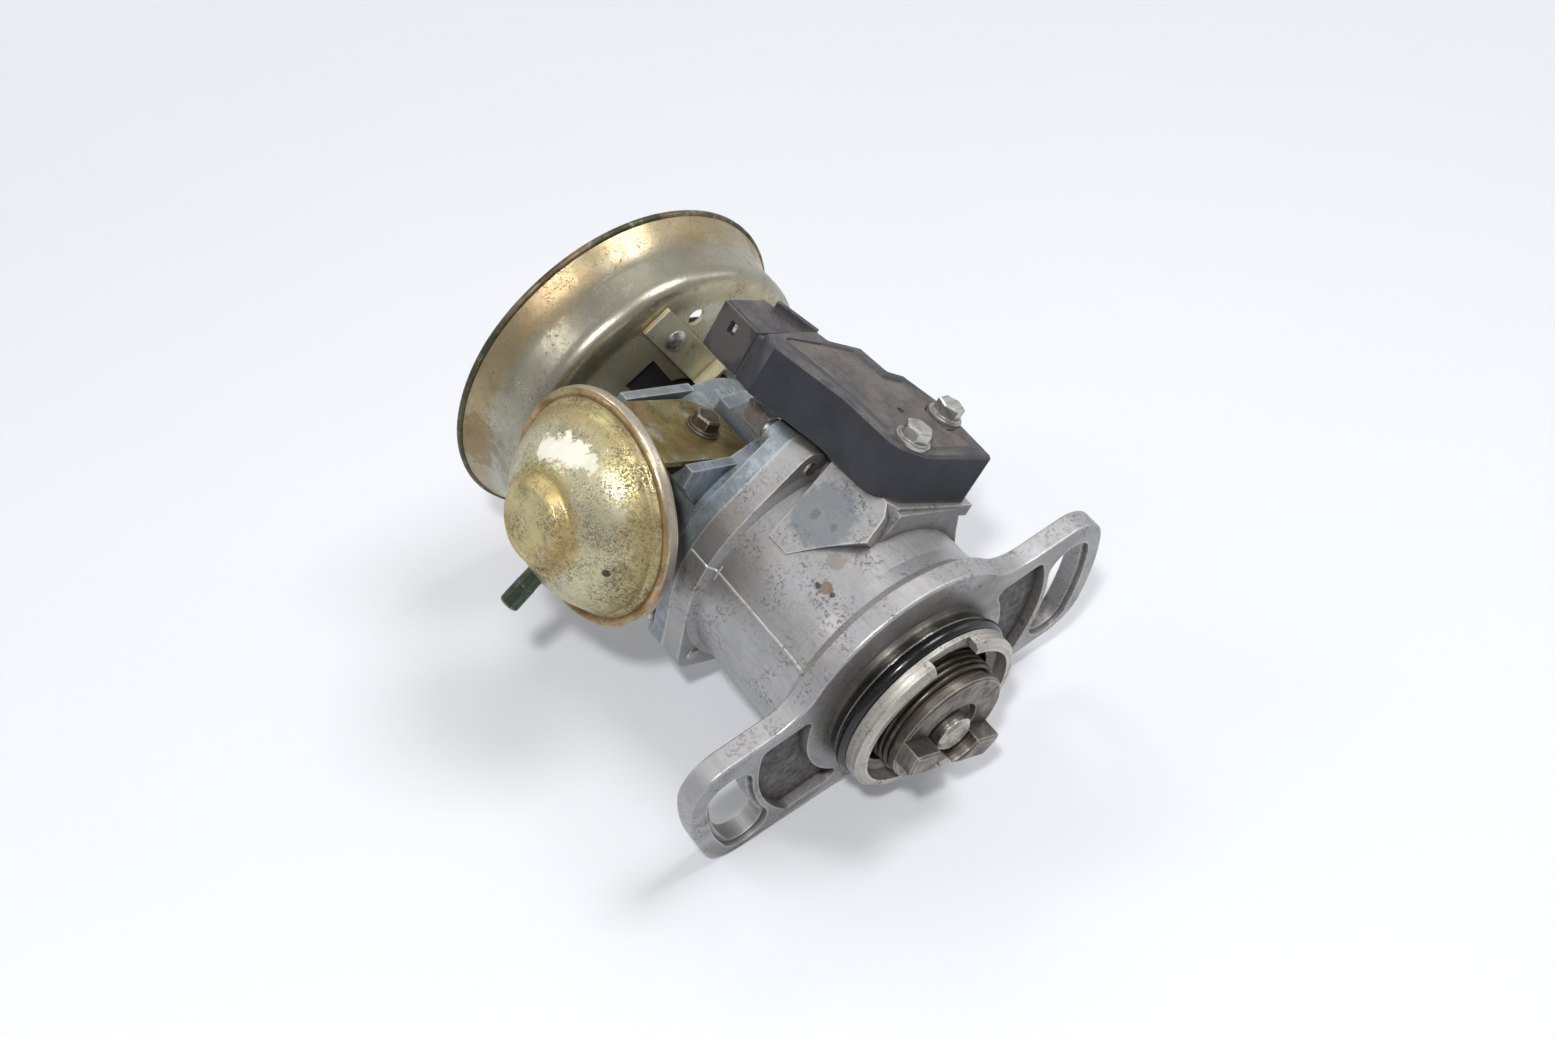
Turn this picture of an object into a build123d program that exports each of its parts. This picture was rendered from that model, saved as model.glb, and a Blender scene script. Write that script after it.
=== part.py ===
"""Four-cylinder ignition distributor with a vacuum unit, an ignition module and a metal shield.

Frame: X is the shaft axis, pointing out of the drive end; Z points up through the ignition module;
the origin is the centre of the mounting flange's face. Millimetres.
"""
import os
from math import acos, cos, degrees, radians, sin

from build123d import *

# --- shaft and fits -----------------------------------------------------------------------------
SHAFT_R = 5.0
RUNNING_GAP = 0.05          # radial play of every turning fit
PIN_GAP = 0.06              # radial play of a weight on its pin
AIR_GAP = 0.4               # play between faces which pass each other

# --- spigot, flange and lower housing -----------------------------------------------------------
SPIGOT_R, SPIGOT_LENGTH, SPIGOT_BEVEL = 24.0, 12.0, 1.2
GROOVE_START, GROOVE_END, GROOVE_R = 3.8, 7.4, 21.6
RING_SECTION_R = 1.75
MOUTH_R, MOUTH_DEPTH = 21.2, 3.6
RECESS_R, RECESS_FLOOR = 18.6, 3.0
NOTCH_WIDTH, NOTCH_DEPTH, NOTCH_ANGLE = 12.5, 3.4, 115.0
FLANGE_THICKNESS = 6.0
EAR_ANGLE, EAR_HALF_WIDTH = 36.0, 21.8
EAR_DROP = 6.0              # both ears lie this far below a line through the shaft
FLANGE_HUB_R = 34.5
SLOT_R, SLOT_WIDTH, SLOT_HALF_ANGLE = 51.6, 10.6, 12.5
SLOT_DROP = 9.0             # angle by which each stud slot lies below the ears' line
SLOT_ANGLES = (EAR_ANGLE - SLOT_DROP, EAR_ANGLE + 180 + SLOT_DROP)
SLOT_BEVEL = 1.2
EAR_RIM = 5.6               # width of metal outside a slot
EAR_TIP_R = SLOT_R + SLOT_WIDTH / 2 + EAR_RIM
POCKET_OUTER_R, POCKET_INNER_R, POCKET_DEPTH, POCKET_WALL = 43.6, 29.5, 2.8, 3.6
BODY_R, CHAMBER_R = 31.3, 27.5
BODY_END = -50.0
LIP_R, LIP_START = 33.0, -43.5
REGISTER_R, REGISTER_DEPTH = 29.5, 4.0
CHAMBER_FLOOR = -10.0
HUB_R, HUB_END = 11.0, -22.0

# --- module seat --------------------------------------------------------------------------------
SEAT_Z, SEAT_PLATE = 37.5, 3.3
SEAT_FRONT, SEAT_BACK = -20.8, -47.0
SEAT_LEFT, SEAT_RIGHT = -13.0, 16.0
FACET_ANGLE = 147.0         # where the facet below the module leaves the round body

# --- upper housing ------------------------------------------------------------------------------
UPPER_END = -100.0
PARTITION_START, PARTITION_END = -56.0, -60.0
PICKUP_CHAMBER_R, PICKUP_WALL_R = 18.8, 24.5
BEARING_R, BEARING_END = 11.5, -76.0
CLIP_X = -74.4              # groove of the pickup plate's clip
SLEEVE_R = 8.0
SADDLE_Z = 18.5
SADDLE_FRONT, SADDLE_BACK = -57.4, -87.0
LUG_ANGLES = (118.5, 238.5, 358.5)
LUG_PITCH_R, LUG_R, LUG_LENGTH = 34.8, 4.6, 6.5
LUG_FLANK = degrees(acos((LIP_R - LUG_R) / LUG_PITCH_R))

# --- shield dish --------------------------------------------------------------------------------
DISH_SHEET = 1.0
DISH_WALL_R, DISH_CORNER_R = 45.0, 9.5
DISH_WALL_DEPTH, DISH_BEND = 13.0, 3.0
DISH_RIM_R, DISH_RIM_X = 48.7, -121.5
DISH_BEAD_R = 1.0
DISH_HOLE_R = 12.4
RIVET_ORBIT, RIVET_ANGLES = 21.8, (20, 200, 290)

# --- vacuum unit, in its own frame: local X points out along the diaphragm's axis ------------------
CAN_TILT = 10.0
CAN_CENTRE = (-70.7, -46.6, -1.8)
CAN_RIM_R = 29.2
CAN_SHEET = 0.9
ROD_THICKNESS, ROD_WIDTH = 1.4, 4.0
ROD_PIN_R = 1.5
PLATE_PIN_ORBIT = 15.1

CAN_OUT = Vector(0, -cos(radians(CAN_TILT)), -sin(radians(CAN_TILT)))
CAN_DOWN = Vector(0, sin(radians(CAN_TILT)), -cos(radians(CAN_TILT)))
CAN = Plane(origin=CAN_CENTRE, x_dir=CAN_OUT, z_dir=(1, 0, 0)).location

# --- fasteners ----------------------------------------------------------------------------------
HEX_FLATS, HEX_HEIGHT, HEX_WASHER_R = 6.2, 3.4, 4.4
PAN_HEAD_R, PAN_HEAD_HEIGHT = 3.4, 2.4
SCREW_R, THREAD_R = 2.0, 1.8
FIT = 0.15                  # radial room of a screw in its clearance hole


def turned(*points):
    """Solid turned about the shaft axis from a closed outline of (x, radius) points."""
    with BuildPart() as body:
        with BuildSketch(Plane.XZ):
            with BuildLine():
                Polyline(*points, close=True)
            make_face()
        revolve(axis=Axis.X)
    return body.part


def rod(x0, x1, radius, y=0.0, z=0.0):
    """Round bar parallel to the shaft from x0 to x1."""
    with BuildPart() as body:
        with BuildSketch(Plane.YZ.offset(min(x0, x1))):
            with Locations((y, z)):
                Circle(radius)
        extrude(amount=abs(x1 - x0))
    return body.part


def prism(x0, x1, *points):
    """Prism parallel to the shaft from x0 to x1 over a (y, z) outline."""
    with BuildPart() as body:
        with BuildSketch(Plane.YZ.offset(min(x0, x1))):
            with BuildLine():
                Polyline(*points, close=True)
            make_face()
        extrude(amount=abs(x1 - x0))
    return body.part


def plate(z0, z1, *points):
    """Plate between heights z0 and z1 over an (x, y) outline."""
    with BuildPart() as body:
        with BuildSketch(Plane.XY.offset(min(z0, z1))):
            with BuildLine():
                Polyline(*points, close=True)
            make_face()
        extrude(amount=abs(z1 - z0))
    return body.part


def coil(radius, pitch, height, wire_r, cone=0.0):
    """Round-wire coil standing on XY about Z, starting on +X."""
    path = Helix(pitch=pitch, height=height, radius=radius, cone_angle=cone)
    with BuildPart() as body:
        with BuildSketch(Plane(origin=path @ 0, z_dir=path % 0)):
            Circle(wire_r)
        sweep(path=path, is_frenet=True)
    return body.part


def polar(radius, degrees):
    """(y, z) of a point at an angle from +Y towards +Z about the shaft."""
    return radius * cos(radians(degrees)), radius * sin(radians(degrees))


def lug_flank(x0, x1, angle, side):
    """Web tangent to the joint lip and to one side of a screw lug."""
    tangent = angle + side * LUG_FLANK
    lug, edge = polar(LUG_PITCH_R, angle), polar(LUG_R, tangent)
    return prism(x0, x1, (0, 0), polar(LIP_R, tangent), (lug[0] + edge[0], lug[1] + edge[1]), lug)


def save(body, name):
    """Label one piece and write its STEP file."""
    body.label = name
    export_step(body, f"parts/{name}.step")


os.makedirs("parts", exist_ok=True)

# ================================================================================================
# Lower housing: spigot, two-eared flange, weight chamber and module seat in one casting
# ================================================================================================
with BuildPart() as lower_housing:
    # flange outline: hub disc and two ears whose tips are arcs about the shaft
    with BuildSketch(Plane.YZ.offset(-FLANGE_THICKNESS)) as flange_outline:
        Circle(EAR_TIP_R)
        with Locations(polar(EAR_DROP, EAR_ANGLE - 90)):
            Rectangle(2 * EAR_TIP_R + 20, 2 * EAR_HALF_WIDTH, rotation=EAR_ANGLE, mode=Mode.INTERSECT)
        Circle(FLANGE_HUB_R)
        corners = flange_outline.vertices().group_by(lambda v: round((v.X ** 2 + v.Y ** 2) ** 0.5, 1))
        fillet(corners[-1], 11)
        fillet(flange_outline.vertices().filter_by(
            lambda v: abs((v.X ** 2 + v.Y ** 2) ** 0.5 - FLANGE_HUB_R) < 0.5), 16)
    extrude(amount=FLANGE_THICKNESS)
    fillet(lower_housing.edges().filter_by(GeomType.LINE).filter_by(
        lambda e: abs(e.center().X) < 0.01 or abs(e.center().X + FLANGE_THICKNESS) < 0.01), 0.8)
    # body, spigot and chambers, turned about the shaft
    add(turned((SPIGOT_LENGTH, 0), (SPIGOT_LENGTH, SPIGOT_R - SPIGOT_BEVEL),
               (SPIGOT_LENGTH - SPIGOT_BEVEL, SPIGOT_R), (0, SPIGOT_R), (-FLANGE_THICKNESS, SPIGOT_R),
               (-FLANGE_THICKNESS, BODY_R + 2.2), (-FLANGE_THICKNESS - 2.2, BODY_R + 0.5),
               (-FLANGE_THICKNESS - 6, BODY_R), (LIP_START + 1.2, BODY_R - 0.4), (LIP_START, LIP_R),
               (BODY_END, LIP_R), (BODY_END, 0)))
    # seat: a facet tangent to the body climbs to a plate which the module lies on
    with BuildSketch(Plane(origin=(0, *polar(BODY_R, FACET_ANGLE)), x_dir=(1, 0, 0),
                           z_dir=(0, *polar(1, FACET_ANGLE)))):
        with BuildLine():
            seat_edge = (SEAT_Z - BODY_R * sin(radians(FACET_ANGLE))) / -cos(radians(FACET_ANGLE))
            front = Spline((-30.8, -0.8), (-24.7, 8.0), (-19.2, 14.6))
            Polyline(front @ 1, (SEAT_FRONT, seat_edge - 3), (SEAT_FRONT - 2.5, seat_edge),
                     (SEAT_BACK + 6, seat_edge), (-37.5, -0.8), front @ 0)
        make_face()
    extrude(amount=-12)
    add(prism(SEAT_BACK + 6, SEAT_FRONT + 1.5, (-14, 24), (-14, 0), (20, 0), (24.5, 19.0), (17, 29),
              (12, SEAT_Z - 1), (-11, SEAT_Z - 1)))
    add(prism(SEAT_BACK, SEAT_BACK + 6, (-14, 26), (-12, 0), (12, 0), (20, 24), (14, 31),
              (12, SEAT_Z - 1), (-9.0, SEAT_Z - 1)))
    add(plate(SEAT_Z - SEAT_PLATE, SEAT_Z, (SEAT_FRONT, -11.0), (SEAT_FRONT + 1.8, SEAT_RIGHT),
              (SEAT_BACK, SEAT_RIGHT), (SEAT_BACK, SEAT_LEFT), (SEAT_FRONT - 2.5, SEAT_LEFT)))
    # screw lugs on the joint lip, each faired into it by two tangent webs
    for angle in LUG_ANGLES:
        add(rod(BODY_END, LIP_START, LUG_R, *polar(LUG_PITCH_R, angle)))
        for side in (-1, 1):
            add(lug_flank(BODY_END, LIP_START, angle, side))
    # O-ring groove, mouth and recess of the spigot
    add(turned((GROOVE_START, GROOVE_R), (GROOVE_END, GROOVE_R), (GROOVE_END, SPIGOT_R + 2),
               (GROOVE_START, SPIGOT_R + 2)), mode=Mode.SUBTRACT)
    add(turned((SPIGOT_LENGTH + 1, 0), (SPIGOT_LENGTH + 1, MOUTH_R), (SPIGOT_LENGTH - MOUTH_DEPTH, MOUTH_R),
               (SPIGOT_LENGTH - MOUTH_DEPTH - 0.8, RECESS_R), (RECESS_FLOOR, RECESS_R), (RECESS_FLOOR, 0)),
        mode=Mode.SUBTRACT)
    # location notch through the spigot's front ring
    with BuildSketch(Plane.YZ.offset(SPIGOT_LENGTH - NOTCH_DEPTH)):
        with Locations(polar(SPIGOT_R - 1, NOTCH_ANGLE)):
            Rectangle(9, NOTCH_WIDTH, rotation=NOTCH_ANGLE)
    extrude(amount=NOTCH_DEPTH + 1, mode=Mode.SUBTRACT)
    # weight chamber around the bearing hub, register for the upper housing
    add(turned((CHAMBER_FLOOR, HUB_R), (CHAMBER_FLOOR, CHAMBER_R), (BODY_END + REGISTER_DEPTH, CHAMBER_R),
               (BODY_END + REGISTER_DEPTH, REGISTER_R), (BODY_END - 1, REGISTER_R), (BODY_END - 1, 0),
               (HUB_END, 0), (HUB_END, HUB_R - 1), (HUB_END + 1, HUB_R)), mode=Mode.SUBTRACT)
    # bearing bore, wider at the drive end for the lip seal
    add(turned((RECESS_FLOOR + 1, 0), (RECESS_FLOOR + 1, 8.6), (-1.0, 8.6), (-1.0, 7.5),
               (HUB_END - 1, 7.5), (HUB_END - 1, 0)), mode=Mode.SUBTRACT)
    # ears: arc slots for the studs, then blind pockets behind a thin rib
    with BuildSketch(Plane.YZ.offset(-FLANGE_THICKNESS - 1)):
        for angle in SLOT_ANGLES:
            with BuildLine() as stud_path:
                CenterArc((0, 0), SLOT_R, angle - SLOT_HALF_ANGLE, 2 * SLOT_HALF_ANGLE)
            SlotArc(stud_path.wires()[0], SLOT_WIDTH)
    extrude(amount=FLANGE_THICKNESS + 2, mode=Mode.SUBTRACT)
    with BuildSketch(Plane.YZ.offset(-SLOT_BEVEL)):
        for angle in SLOT_ANGLES:
            with BuildLine() as stud_path:
                CenterArc((0, 0), SLOT_R, angle - SLOT_HALF_ANGLE, 2 * SLOT_HALF_ANGLE)
            SlotArc(stud_path.wires()[0], SLOT_WIDTH + 2.4)
    extrude(amount=SLOT_BEVEL + 1, mode=Mode.SUBTRACT)
    with BuildSketch(Plane.YZ.offset(-POCKET_DEPTH)) as pocket_outline:
        Circle(POCKET_OUTER_R)
        with Locations(polar(EAR_DROP, EAR_ANGLE - 90)):
            Rectangle(2 * EAR_TIP_R, 2 * (EAR_HALF_WIDTH - POCKET_WALL), rotation=EAR_ANGLE,
                      mode=Mode.INTERSECT)
        Circle(POCKET_INNER_R, mode=Mode.SUBTRACT)
        fillet(pocket_outline.vertices(), 2.5)
    extrude(amount=POCKET_DEPTH + 1, mode=Mode.SUBTRACT)
    # threaded holes: module bolts, joint screws
    with Locations((-28.2, -10.0, SEAT_Z), (-35.5, 10.5, SEAT_Z)):
        Cylinder(1.7, 16, mode=Mode.SUBTRACT)
    for angle in LUG_ANGLES:
        add(rod(BODY_END - 1, LIP_START + 2, THREAD_R, *polar(LUG_PITCH_R, angle)), mode=Mode.SUBTRACT)
save(lower_housing.part, "lower_housing")

with BuildPart() as o_ring:
    with BuildSketch(Plane.XZ):
        with Locations(((GROOVE_START + GROOVE_END) / 2, GROOVE_R + RING_SECTION_R)):
            Circle(RING_SECTION_R)
    revolve(axis=Axis.X)
save(o_ring.part, "o_ring")

# ================================================================================================
# Upper housing: joint lip, saddle for the vacuum bracket, pickup chamber open towards the shield
# ================================================================================================
with BuildPart() as upper_housing:
    add(turned((BODY_END + REGISTER_DEPTH - 0.3, 0), (BODY_END + REGISTER_DEPTH - 0.3, REGISTER_R - 0.1),
               (BODY_END, REGISTER_R - 0.1), (BODY_END, LIP_R), (BODY_END - 4.5, LIP_R),
               (BODY_END - 5.5, BODY_R - 0.3), (-71, BODY_R - 0.6), (-76, PICKUP_WALL_R),
               (UPPER_END, PICKUP_WALL_R), (UPPER_END, 0)))
    for angle in LUG_ANGLES:
        add(rod(BODY_END, BODY_END - LUG_LENGTH, LUG_R, *polar(LUG_PITCH_R, angle)))
        for side in (-1, 1):
            add(lug_flank(BODY_END, BODY_END - 4.5, angle, side))
    # saddle: a flat shelf for the vacuum bracket between two ribs
    add(prism(SADDLE_BACK, SADDLE_FRONT, (-36.0, 13.5), (-36.0, SADDLE_Z), (-3, SADDLE_Z), (-3, 0),
              (-20, 0), (-27, 6)))
    add(plate(SADDLE_Z, 34, (SADDLE_BACK + 2.8, -45), (SADDLE_FRONT - 2.8, -45), (SADDLE_FRONT - 2.8, -11),
              (SADDLE_BACK + 2.8, -10)), mode=Mode.SUBTRACT)
    for x in (SADDLE_BACK, SADDLE_FRONT - 2.8):
        add(prism(x, x + 2.8, (-37.5, 14.5), (-37.5, SADDLE_Z + 1.0), (-12, SADDLE_Z + 3.4), (-8, 14),
                  (-20, 8)))
    # stiffening rib which climbs from the saddle to the lip
    add(prism(-71, -54, (-12, 24), (-8.5, 24), (-8.5, 30.6), (-12, 29.4)))
    # weight chamber side, pickup chamber with its bearing, window under the shield
    add(turned((BODY_END + REGISTER_DEPTH + 1, 0), (BODY_END + REGISTER_DEPTH + 1, 26.5),
               (PARTITION_START, 26.5), (PARTITION_START, 0)), mode=Mode.SUBTRACT)
    add(turned((PARTITION_END, BEARING_R), (PARTITION_END, PICKUP_CHAMBER_R),
               (UPPER_END - 1, PICKUP_CHAMBER_R),
               (UPPER_END - 1, 0), (BEARING_END, 0), (BEARING_END, BEARING_R)), mode=Mode.SUBTRACT)
    add(turned((PARTITION_START + 1, 0), (PARTITION_START + 1, 10.0), (-68, 10.0), (-68, SLEEVE_R + AIR_GAP),
               (BEARING_END - 1, SLEEVE_R + AIR_GAP), (BEARING_END - 1, 0)), mode=Mode.SUBTRACT)
    add(turned((CLIP_X, BEARING_R - 0.6), (CLIP_X, BEARING_R + 1), (CLIP_X - 0.7, BEARING_R + 1),
               (CLIP_X - 0.7, BEARING_R - 0.6)), mode=Mode.SUBTRACT)
    add(prism(-101, -90, (0, 0), polar(60, 60), polar(80, 111), polar(60, 162)), mode=Mode.SUBTRACT)
    # the chamber's wall is thinned beside that window, clear of the shield's strip
    with BuildSketch(Plane.YZ.offset(-91)):
        Circle(PICKUP_WALL_R + 2)
        Circle(PICKUP_CHAMBER_R + 1.6, mode=Mode.SUBTRACT)
        with BuildLine():
            Polyline((0, 0), polar(60, 60), polar(80, 111), polar(60, 162), close=True)
        make_face(mode=Mode.INTERSECT)
    extrude(amount=11, mode=Mode.SUBTRACT)
    # slot for the pull rod through the chamber's wall
    with BuildSketch(Plane(origin=CAN_CENTRE, x_dir=CAN_OUT, z_dir=(1, 0, 0)).offset(-1.6)):
        with Locations((-22, -1.3)):
            Rectangle(22, 8.4)
    extrude(amount=3.2, mode=Mode.SUBTRACT)
    with Locations((-71.5, -22.5, SADDLE_Z)):
        Cylinder(1.7, 22, mode=Mode.SUBTRACT)
    for angle in LUG_ANGLES:
        add(rod(BODY_END + 1, BODY_END - 9, SCREW_R + FIT, *polar(LUG_PITCH_R, angle)), mode=Mode.SUBTRACT)
        add(rod(BODY_END - LUG_LENGTH, BODY_END - LUG_LENGTH - 5, PAN_HEAD_R + 0.5,
                *polar(LUG_PITCH_R, angle)), mode=Mode.SUBTRACT)
    for angle in RIVET_ANGLES:
        add(rod(UPPER_END - 1, UPPER_END + 8, 1.2, *polar(RIVET_ORBIT, angle)), mode=Mode.SUBTRACT)
save(upper_housing.part, "upper_housing")

HEAD_SEAT = BODY_END - LUG_LENGTH
with BuildPart() as joint_screws:
    # the heads bear on the upper housing, the threaded ends show in the lower housing's lugs
    for angle in LUG_ANGLES:
        y, z = polar(LUG_PITCH_R, angle)
        add(rod(HEAD_SEAT - PAN_HEAD_HEIGHT, HEAD_SEAT, PAN_HEAD_R, y, z))
        add(rod(HEAD_SEAT, LIP_START + 0.5, THREAD_R, y, z))
    fillet(joint_screws.edges().filter_by(GeomType.CIRCLE).group_by(Axis.X)[0], 1.0)
    chamfer(joint_screws.edges().filter_by(GeomType.CIRCLE).group_by(Axis.X)[-1], 0.4)
    for angle in LUG_ANGLES:
        with Locations((HEAD_SEAT - PAN_HEAD_HEIGHT, *polar(LUG_PITCH_R, angle))):
            Box(2.2, 5, 0.9, mode=Mode.SUBTRACT)
            Box(2.2, 0.9, 5, mode=Mode.SUBTRACT)
save(joint_screws.part, "joint_screws")

# ================================================================================================
# Shaft assembly: shaft, coupling with offset lugs, pin and wire spring, carrier and weight pins
# ================================================================================================
with BuildPart() as shaft_bushes:
    bush = [(-1.4, SHAFT_R + RUNNING_GAP), (-1.4, 7.5), (-9.5, 7.5), (-9.5, SHAFT_R + RUNNING_GAP)]
    add(turned(*bush))
    add(turned(*[(x - 12.5, r) for x, r in bush]))
save(shaft_bushes.part, "shaft_bushes")

with BuildPart() as shaft_seal:
    add(turned((2.4, 8.6), (2.4, SHAFT_R + 0.35), (1.8, SHAFT_R + 0.35), (0.4, SHAFT_R + 1.6),
               (-0.9, SHAFT_R + 1.6), (-0.9, 8.6)))
save(shaft_seal.part, "shaft_seal")

with BuildPart() as upper_bush:
    add(turned((PARTITION_START - 0.2, SLEEVE_R + RUNNING_GAP), (PARTITION_START - 0.2, 10),
               (-67.6, 10), (-67.6, SLEEVE_R + RUNNING_GAP)))
save(upper_bush.part, "upper_bush")

with BuildPart() as drive_shaft:
    add(turned((18.6, 0), (18.6, SHAFT_R - 0.8), (17.8, SHAFT_R), (-95, SHAFT_R), (-96, SHAFT_R - 1),
               (-96, 0)))
    add(rod(10.6 - 1.5, 10.6 + 1.5, 0.1, 0, 0))
    with BuildSketch(Plane.XZ.offset(-10)):
        with Locations((10.6, 0)):
            Circle(1.5)
    extrude(amount=20, mode=Mode.SUBTRACT)
save(drive_shaft.part, "drive_shaft")

COUPLING_BACK, COUPLING_FACE, DISC_R, WRAP_R = 5.2, 16.1, 16.2, 15.3
with BuildPart() as drive_coupling:
    add(turned((COUPLING_BACK, SHAFT_R), (COUPLING_BACK, WRAP_R), (13.6, WRAP_R), (13.6, DISC_R),
               (COUPLING_FACE - 0.6, DISC_R), (COUPLING_FACE, DISC_R - 0.6), (COUPLING_FACE, 8.2),
               (COUPLING_FACE - 1.2, 7.4), (COUPLING_FACE - 1.2, SHAFT_R)))
    # two driving lugs on a line set off from the shaft's centre
    with BuildSketch(Plane.YZ.offset(COUPLING_FACE - 0.5)):
        Circle(DISC_R)
        with Locations((0, -4.2)):
            Rectangle(2 * DISC_R, 6.4, rotation=0, mode=Mode.INTERSECT)
        Circle(7.6, mode=Mode.SUBTRACT)
    extrude(amount=5.6)
    chamfer(drive_coupling.faces().sort_by(Axis.X)[-2:].edges(), 0.6)
    with BuildSketch(Plane.XZ.offset(-20)):
        with Locations((10.6, 0)):
            Circle(1.5)
    extrude(amount=40, mode=Mode.SUBTRACT)
save(drive_coupling.part, "drive_coupling")

with BuildPart() as coupling_pin:
    with BuildSketch(Plane.XZ.offset(-15.1)):
        with Locations((10.6, 0)):
            Circle(1.5)
    extrude(amount=30.2)
save(coupling_pin.part, "coupling_pin")

WIRE_R = 0.8
with BuildPart() as retaining_spring:
    spring = coil(WRAP_R + WIRE_R, 2 * WIRE_R + 0.06, 3.8 * (2 * WIRE_R + 0.06), WIRE_R)
    add(spring.moved(Plane(origin=(6.5, 0, 0), x_dir=(0, 0.5, 0.87), z_dir=(1, 0, 0)).location))
save(retaining_spring.part, "retaining_spring")

CARRIER_FRONT, CARRIER_BACK, CARRIER_R = -24.6, -26.6, 23.0
with BuildPart() as thrust_washers:
    add(turned((3.3, SHAFT_R), (3.3, 9), (COUPLING_BACK, 9), (COUPLING_BACK, SHAFT_R)))
    add(turned((HUB_END - 0.4, SHAFT_R), (HUB_END - 0.4, 9), (CARRIER_FRONT, 9), (CARRIER_FRONT, SHAFT_R)))
save(thrust_washers.part, "thrust_washers")

POST_ANGLES = (157.5, 337.5)
POST_ORBIT, PIN_ORBIT, PIN_R = 21.0, 16.5, 2.0
with BuildPart() as carrier_plate:
    add(rod(CARRIER_BACK, CARRIER_FRONT, CARRIER_R))
    add(rod(CARRIER_BACK - 1, CARRIER_FRONT + 1, SHAFT_R), mode=Mode.SUBTRACT)
    with BuildSketch(Plane.YZ.offset(CARRIER_BACK - 1)):
        with PolarLocations(15.5, 2, start_angle=90):
            SlotOverall(12, 5, rotation=90)
    extrude(amount=4, mode=Mode.SUBTRACT)
save(carrier_plate.part, "carrier_plate")

with BuildPart() as weight_pins:
    for side in (-1, 1):
        add(rod(-34.6, CARRIER_BACK, PIN_R, side * PIN_ORBIT, 0))
    for angle in POST_ANGLES:
        add(rod(-40.4, CARRIER_BACK, 1.1, *polar(POST_ORBIT, angle)))
save(weight_pins.part, "weight_pins")


def weight():
    """One centrifugal weight: a kidney-shaped plate hung on the pin at +Y."""
    with BuildPart() as body:
        with BuildSketch(Plane.YZ.offset(-34.2)):
            Circle(20.5)
            Circle(9.5, mode=Mode.SUBTRACT)
            with BuildLine():
                Polyline((0, 0), polar(60, -15), polar(60, -60), polar(60, -120), polar(60, 185),
                         polar(60, 150), close=True)
            make_face(mode=Mode.SUBTRACT)
        extrude(amount=7.3)
        fillet(body.edges().filter_by(Axis.X), 1.6)
        add(rod(-35, -26, PIN_R + PIN_GAP, PIN_ORBIT, 0), mode=Mode.SUBTRACT)
        chamfer(body.faces().filter_by(Axis.X).sort_by(Axis.X)[0].outer_wire().edges(), 0.5)
    return body.part


save(weight(), "weight_a")
save(weight().rotate(Axis.X, 180), "weight_b")

# ================================================================================================
# Timing sleeve: cam plate, reluctor and rotor arm which turn a little against the shaft
# ================================================================================================
SLEEVE_START, SLEEVE_END = -35.0, -104.0
with BuildPart() as timing_sleeve:
    add(turned((SLEEVE_START, SHAFT_R + RUNNING_GAP), (SLEEVE_START, SLEEVE_R), (SLEEVE_END, SLEEVE_R),
               (SLEEVE_END, SHAFT_R + RUNNING_GAP)))
    with BuildSketch(Plane.YZ.offset(-37)):
        Ellipse(9.5, 15.5)
        Circle(SLEEVE_R - 1, mode=Mode.SUBTRACT)
    extrude(amount=2)
    for side in (-1, 1):
        add(rod(-40.4, -36.5, 1.1, 0, side * 12.5))
    with BuildSketch(Plane.XY.offset(6)):
        with Locations((-102, 0)):
            Rectangle(5, 2.4)
    extrude(amount=4, mode=Mode.SUBTRACT)
save(timing_sleeve.part, "timing_sleeve")

with BuildPart() as advance_springs:
    for turn in (0, 180):
        y0, z0 = polar(12.5, 90 + turn)
        y1, z1 = polar(POST_ORBIT, POST_ANGLES[0] + turn)
        run = Vector(0, y1 - y0, z1 - z0)
        along = run.normalized()
        loop = 2.0
        body_length = run.length - 2 * (loop + 1.3)
        start = Vector(-39.2, y0, z0) + along * (loop + 1.3)
        wound = coil(1.7, body_length / 9, body_length, 0.3)
        add(wound.moved(Plane(origin=start, x_dir=(1, 0, 0), z_dir=along).location))
        for centre in (Vector(-39.2, y0, z0), Vector(-39.2, y1, z1)):
            with BuildSketch(Plane(origin=centre - Vector(0.3, 0, 0), z_dir=(1, 0, 0))):
                Circle(1.9)
                Circle(1.3, mode=Mode.SUBTRACT)
            extrude(amount=0.6)
save(advance_springs.part, "advance_springs")

with BuildPart() as reluctor:
    with BuildSketch(Plane.YZ.offset(-85.2)):
        Circle(9.6)
        with PolarLocations(10.2, 4, start_angle=10):
            Rectangle(4.2, 4.4)
        Circle(SLEEVE_R, mode=Mode.SUBTRACT)
    extrude(amount=8)
    fillet(reluctor.edges().filter_by(Axis.X).group_by(
        lambda e: round((e.center().Y ** 2 + e.center().Z ** 2) ** 0.5, 1))[-1], 0.5)
save(reluctor.part, "reluctor")

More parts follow.
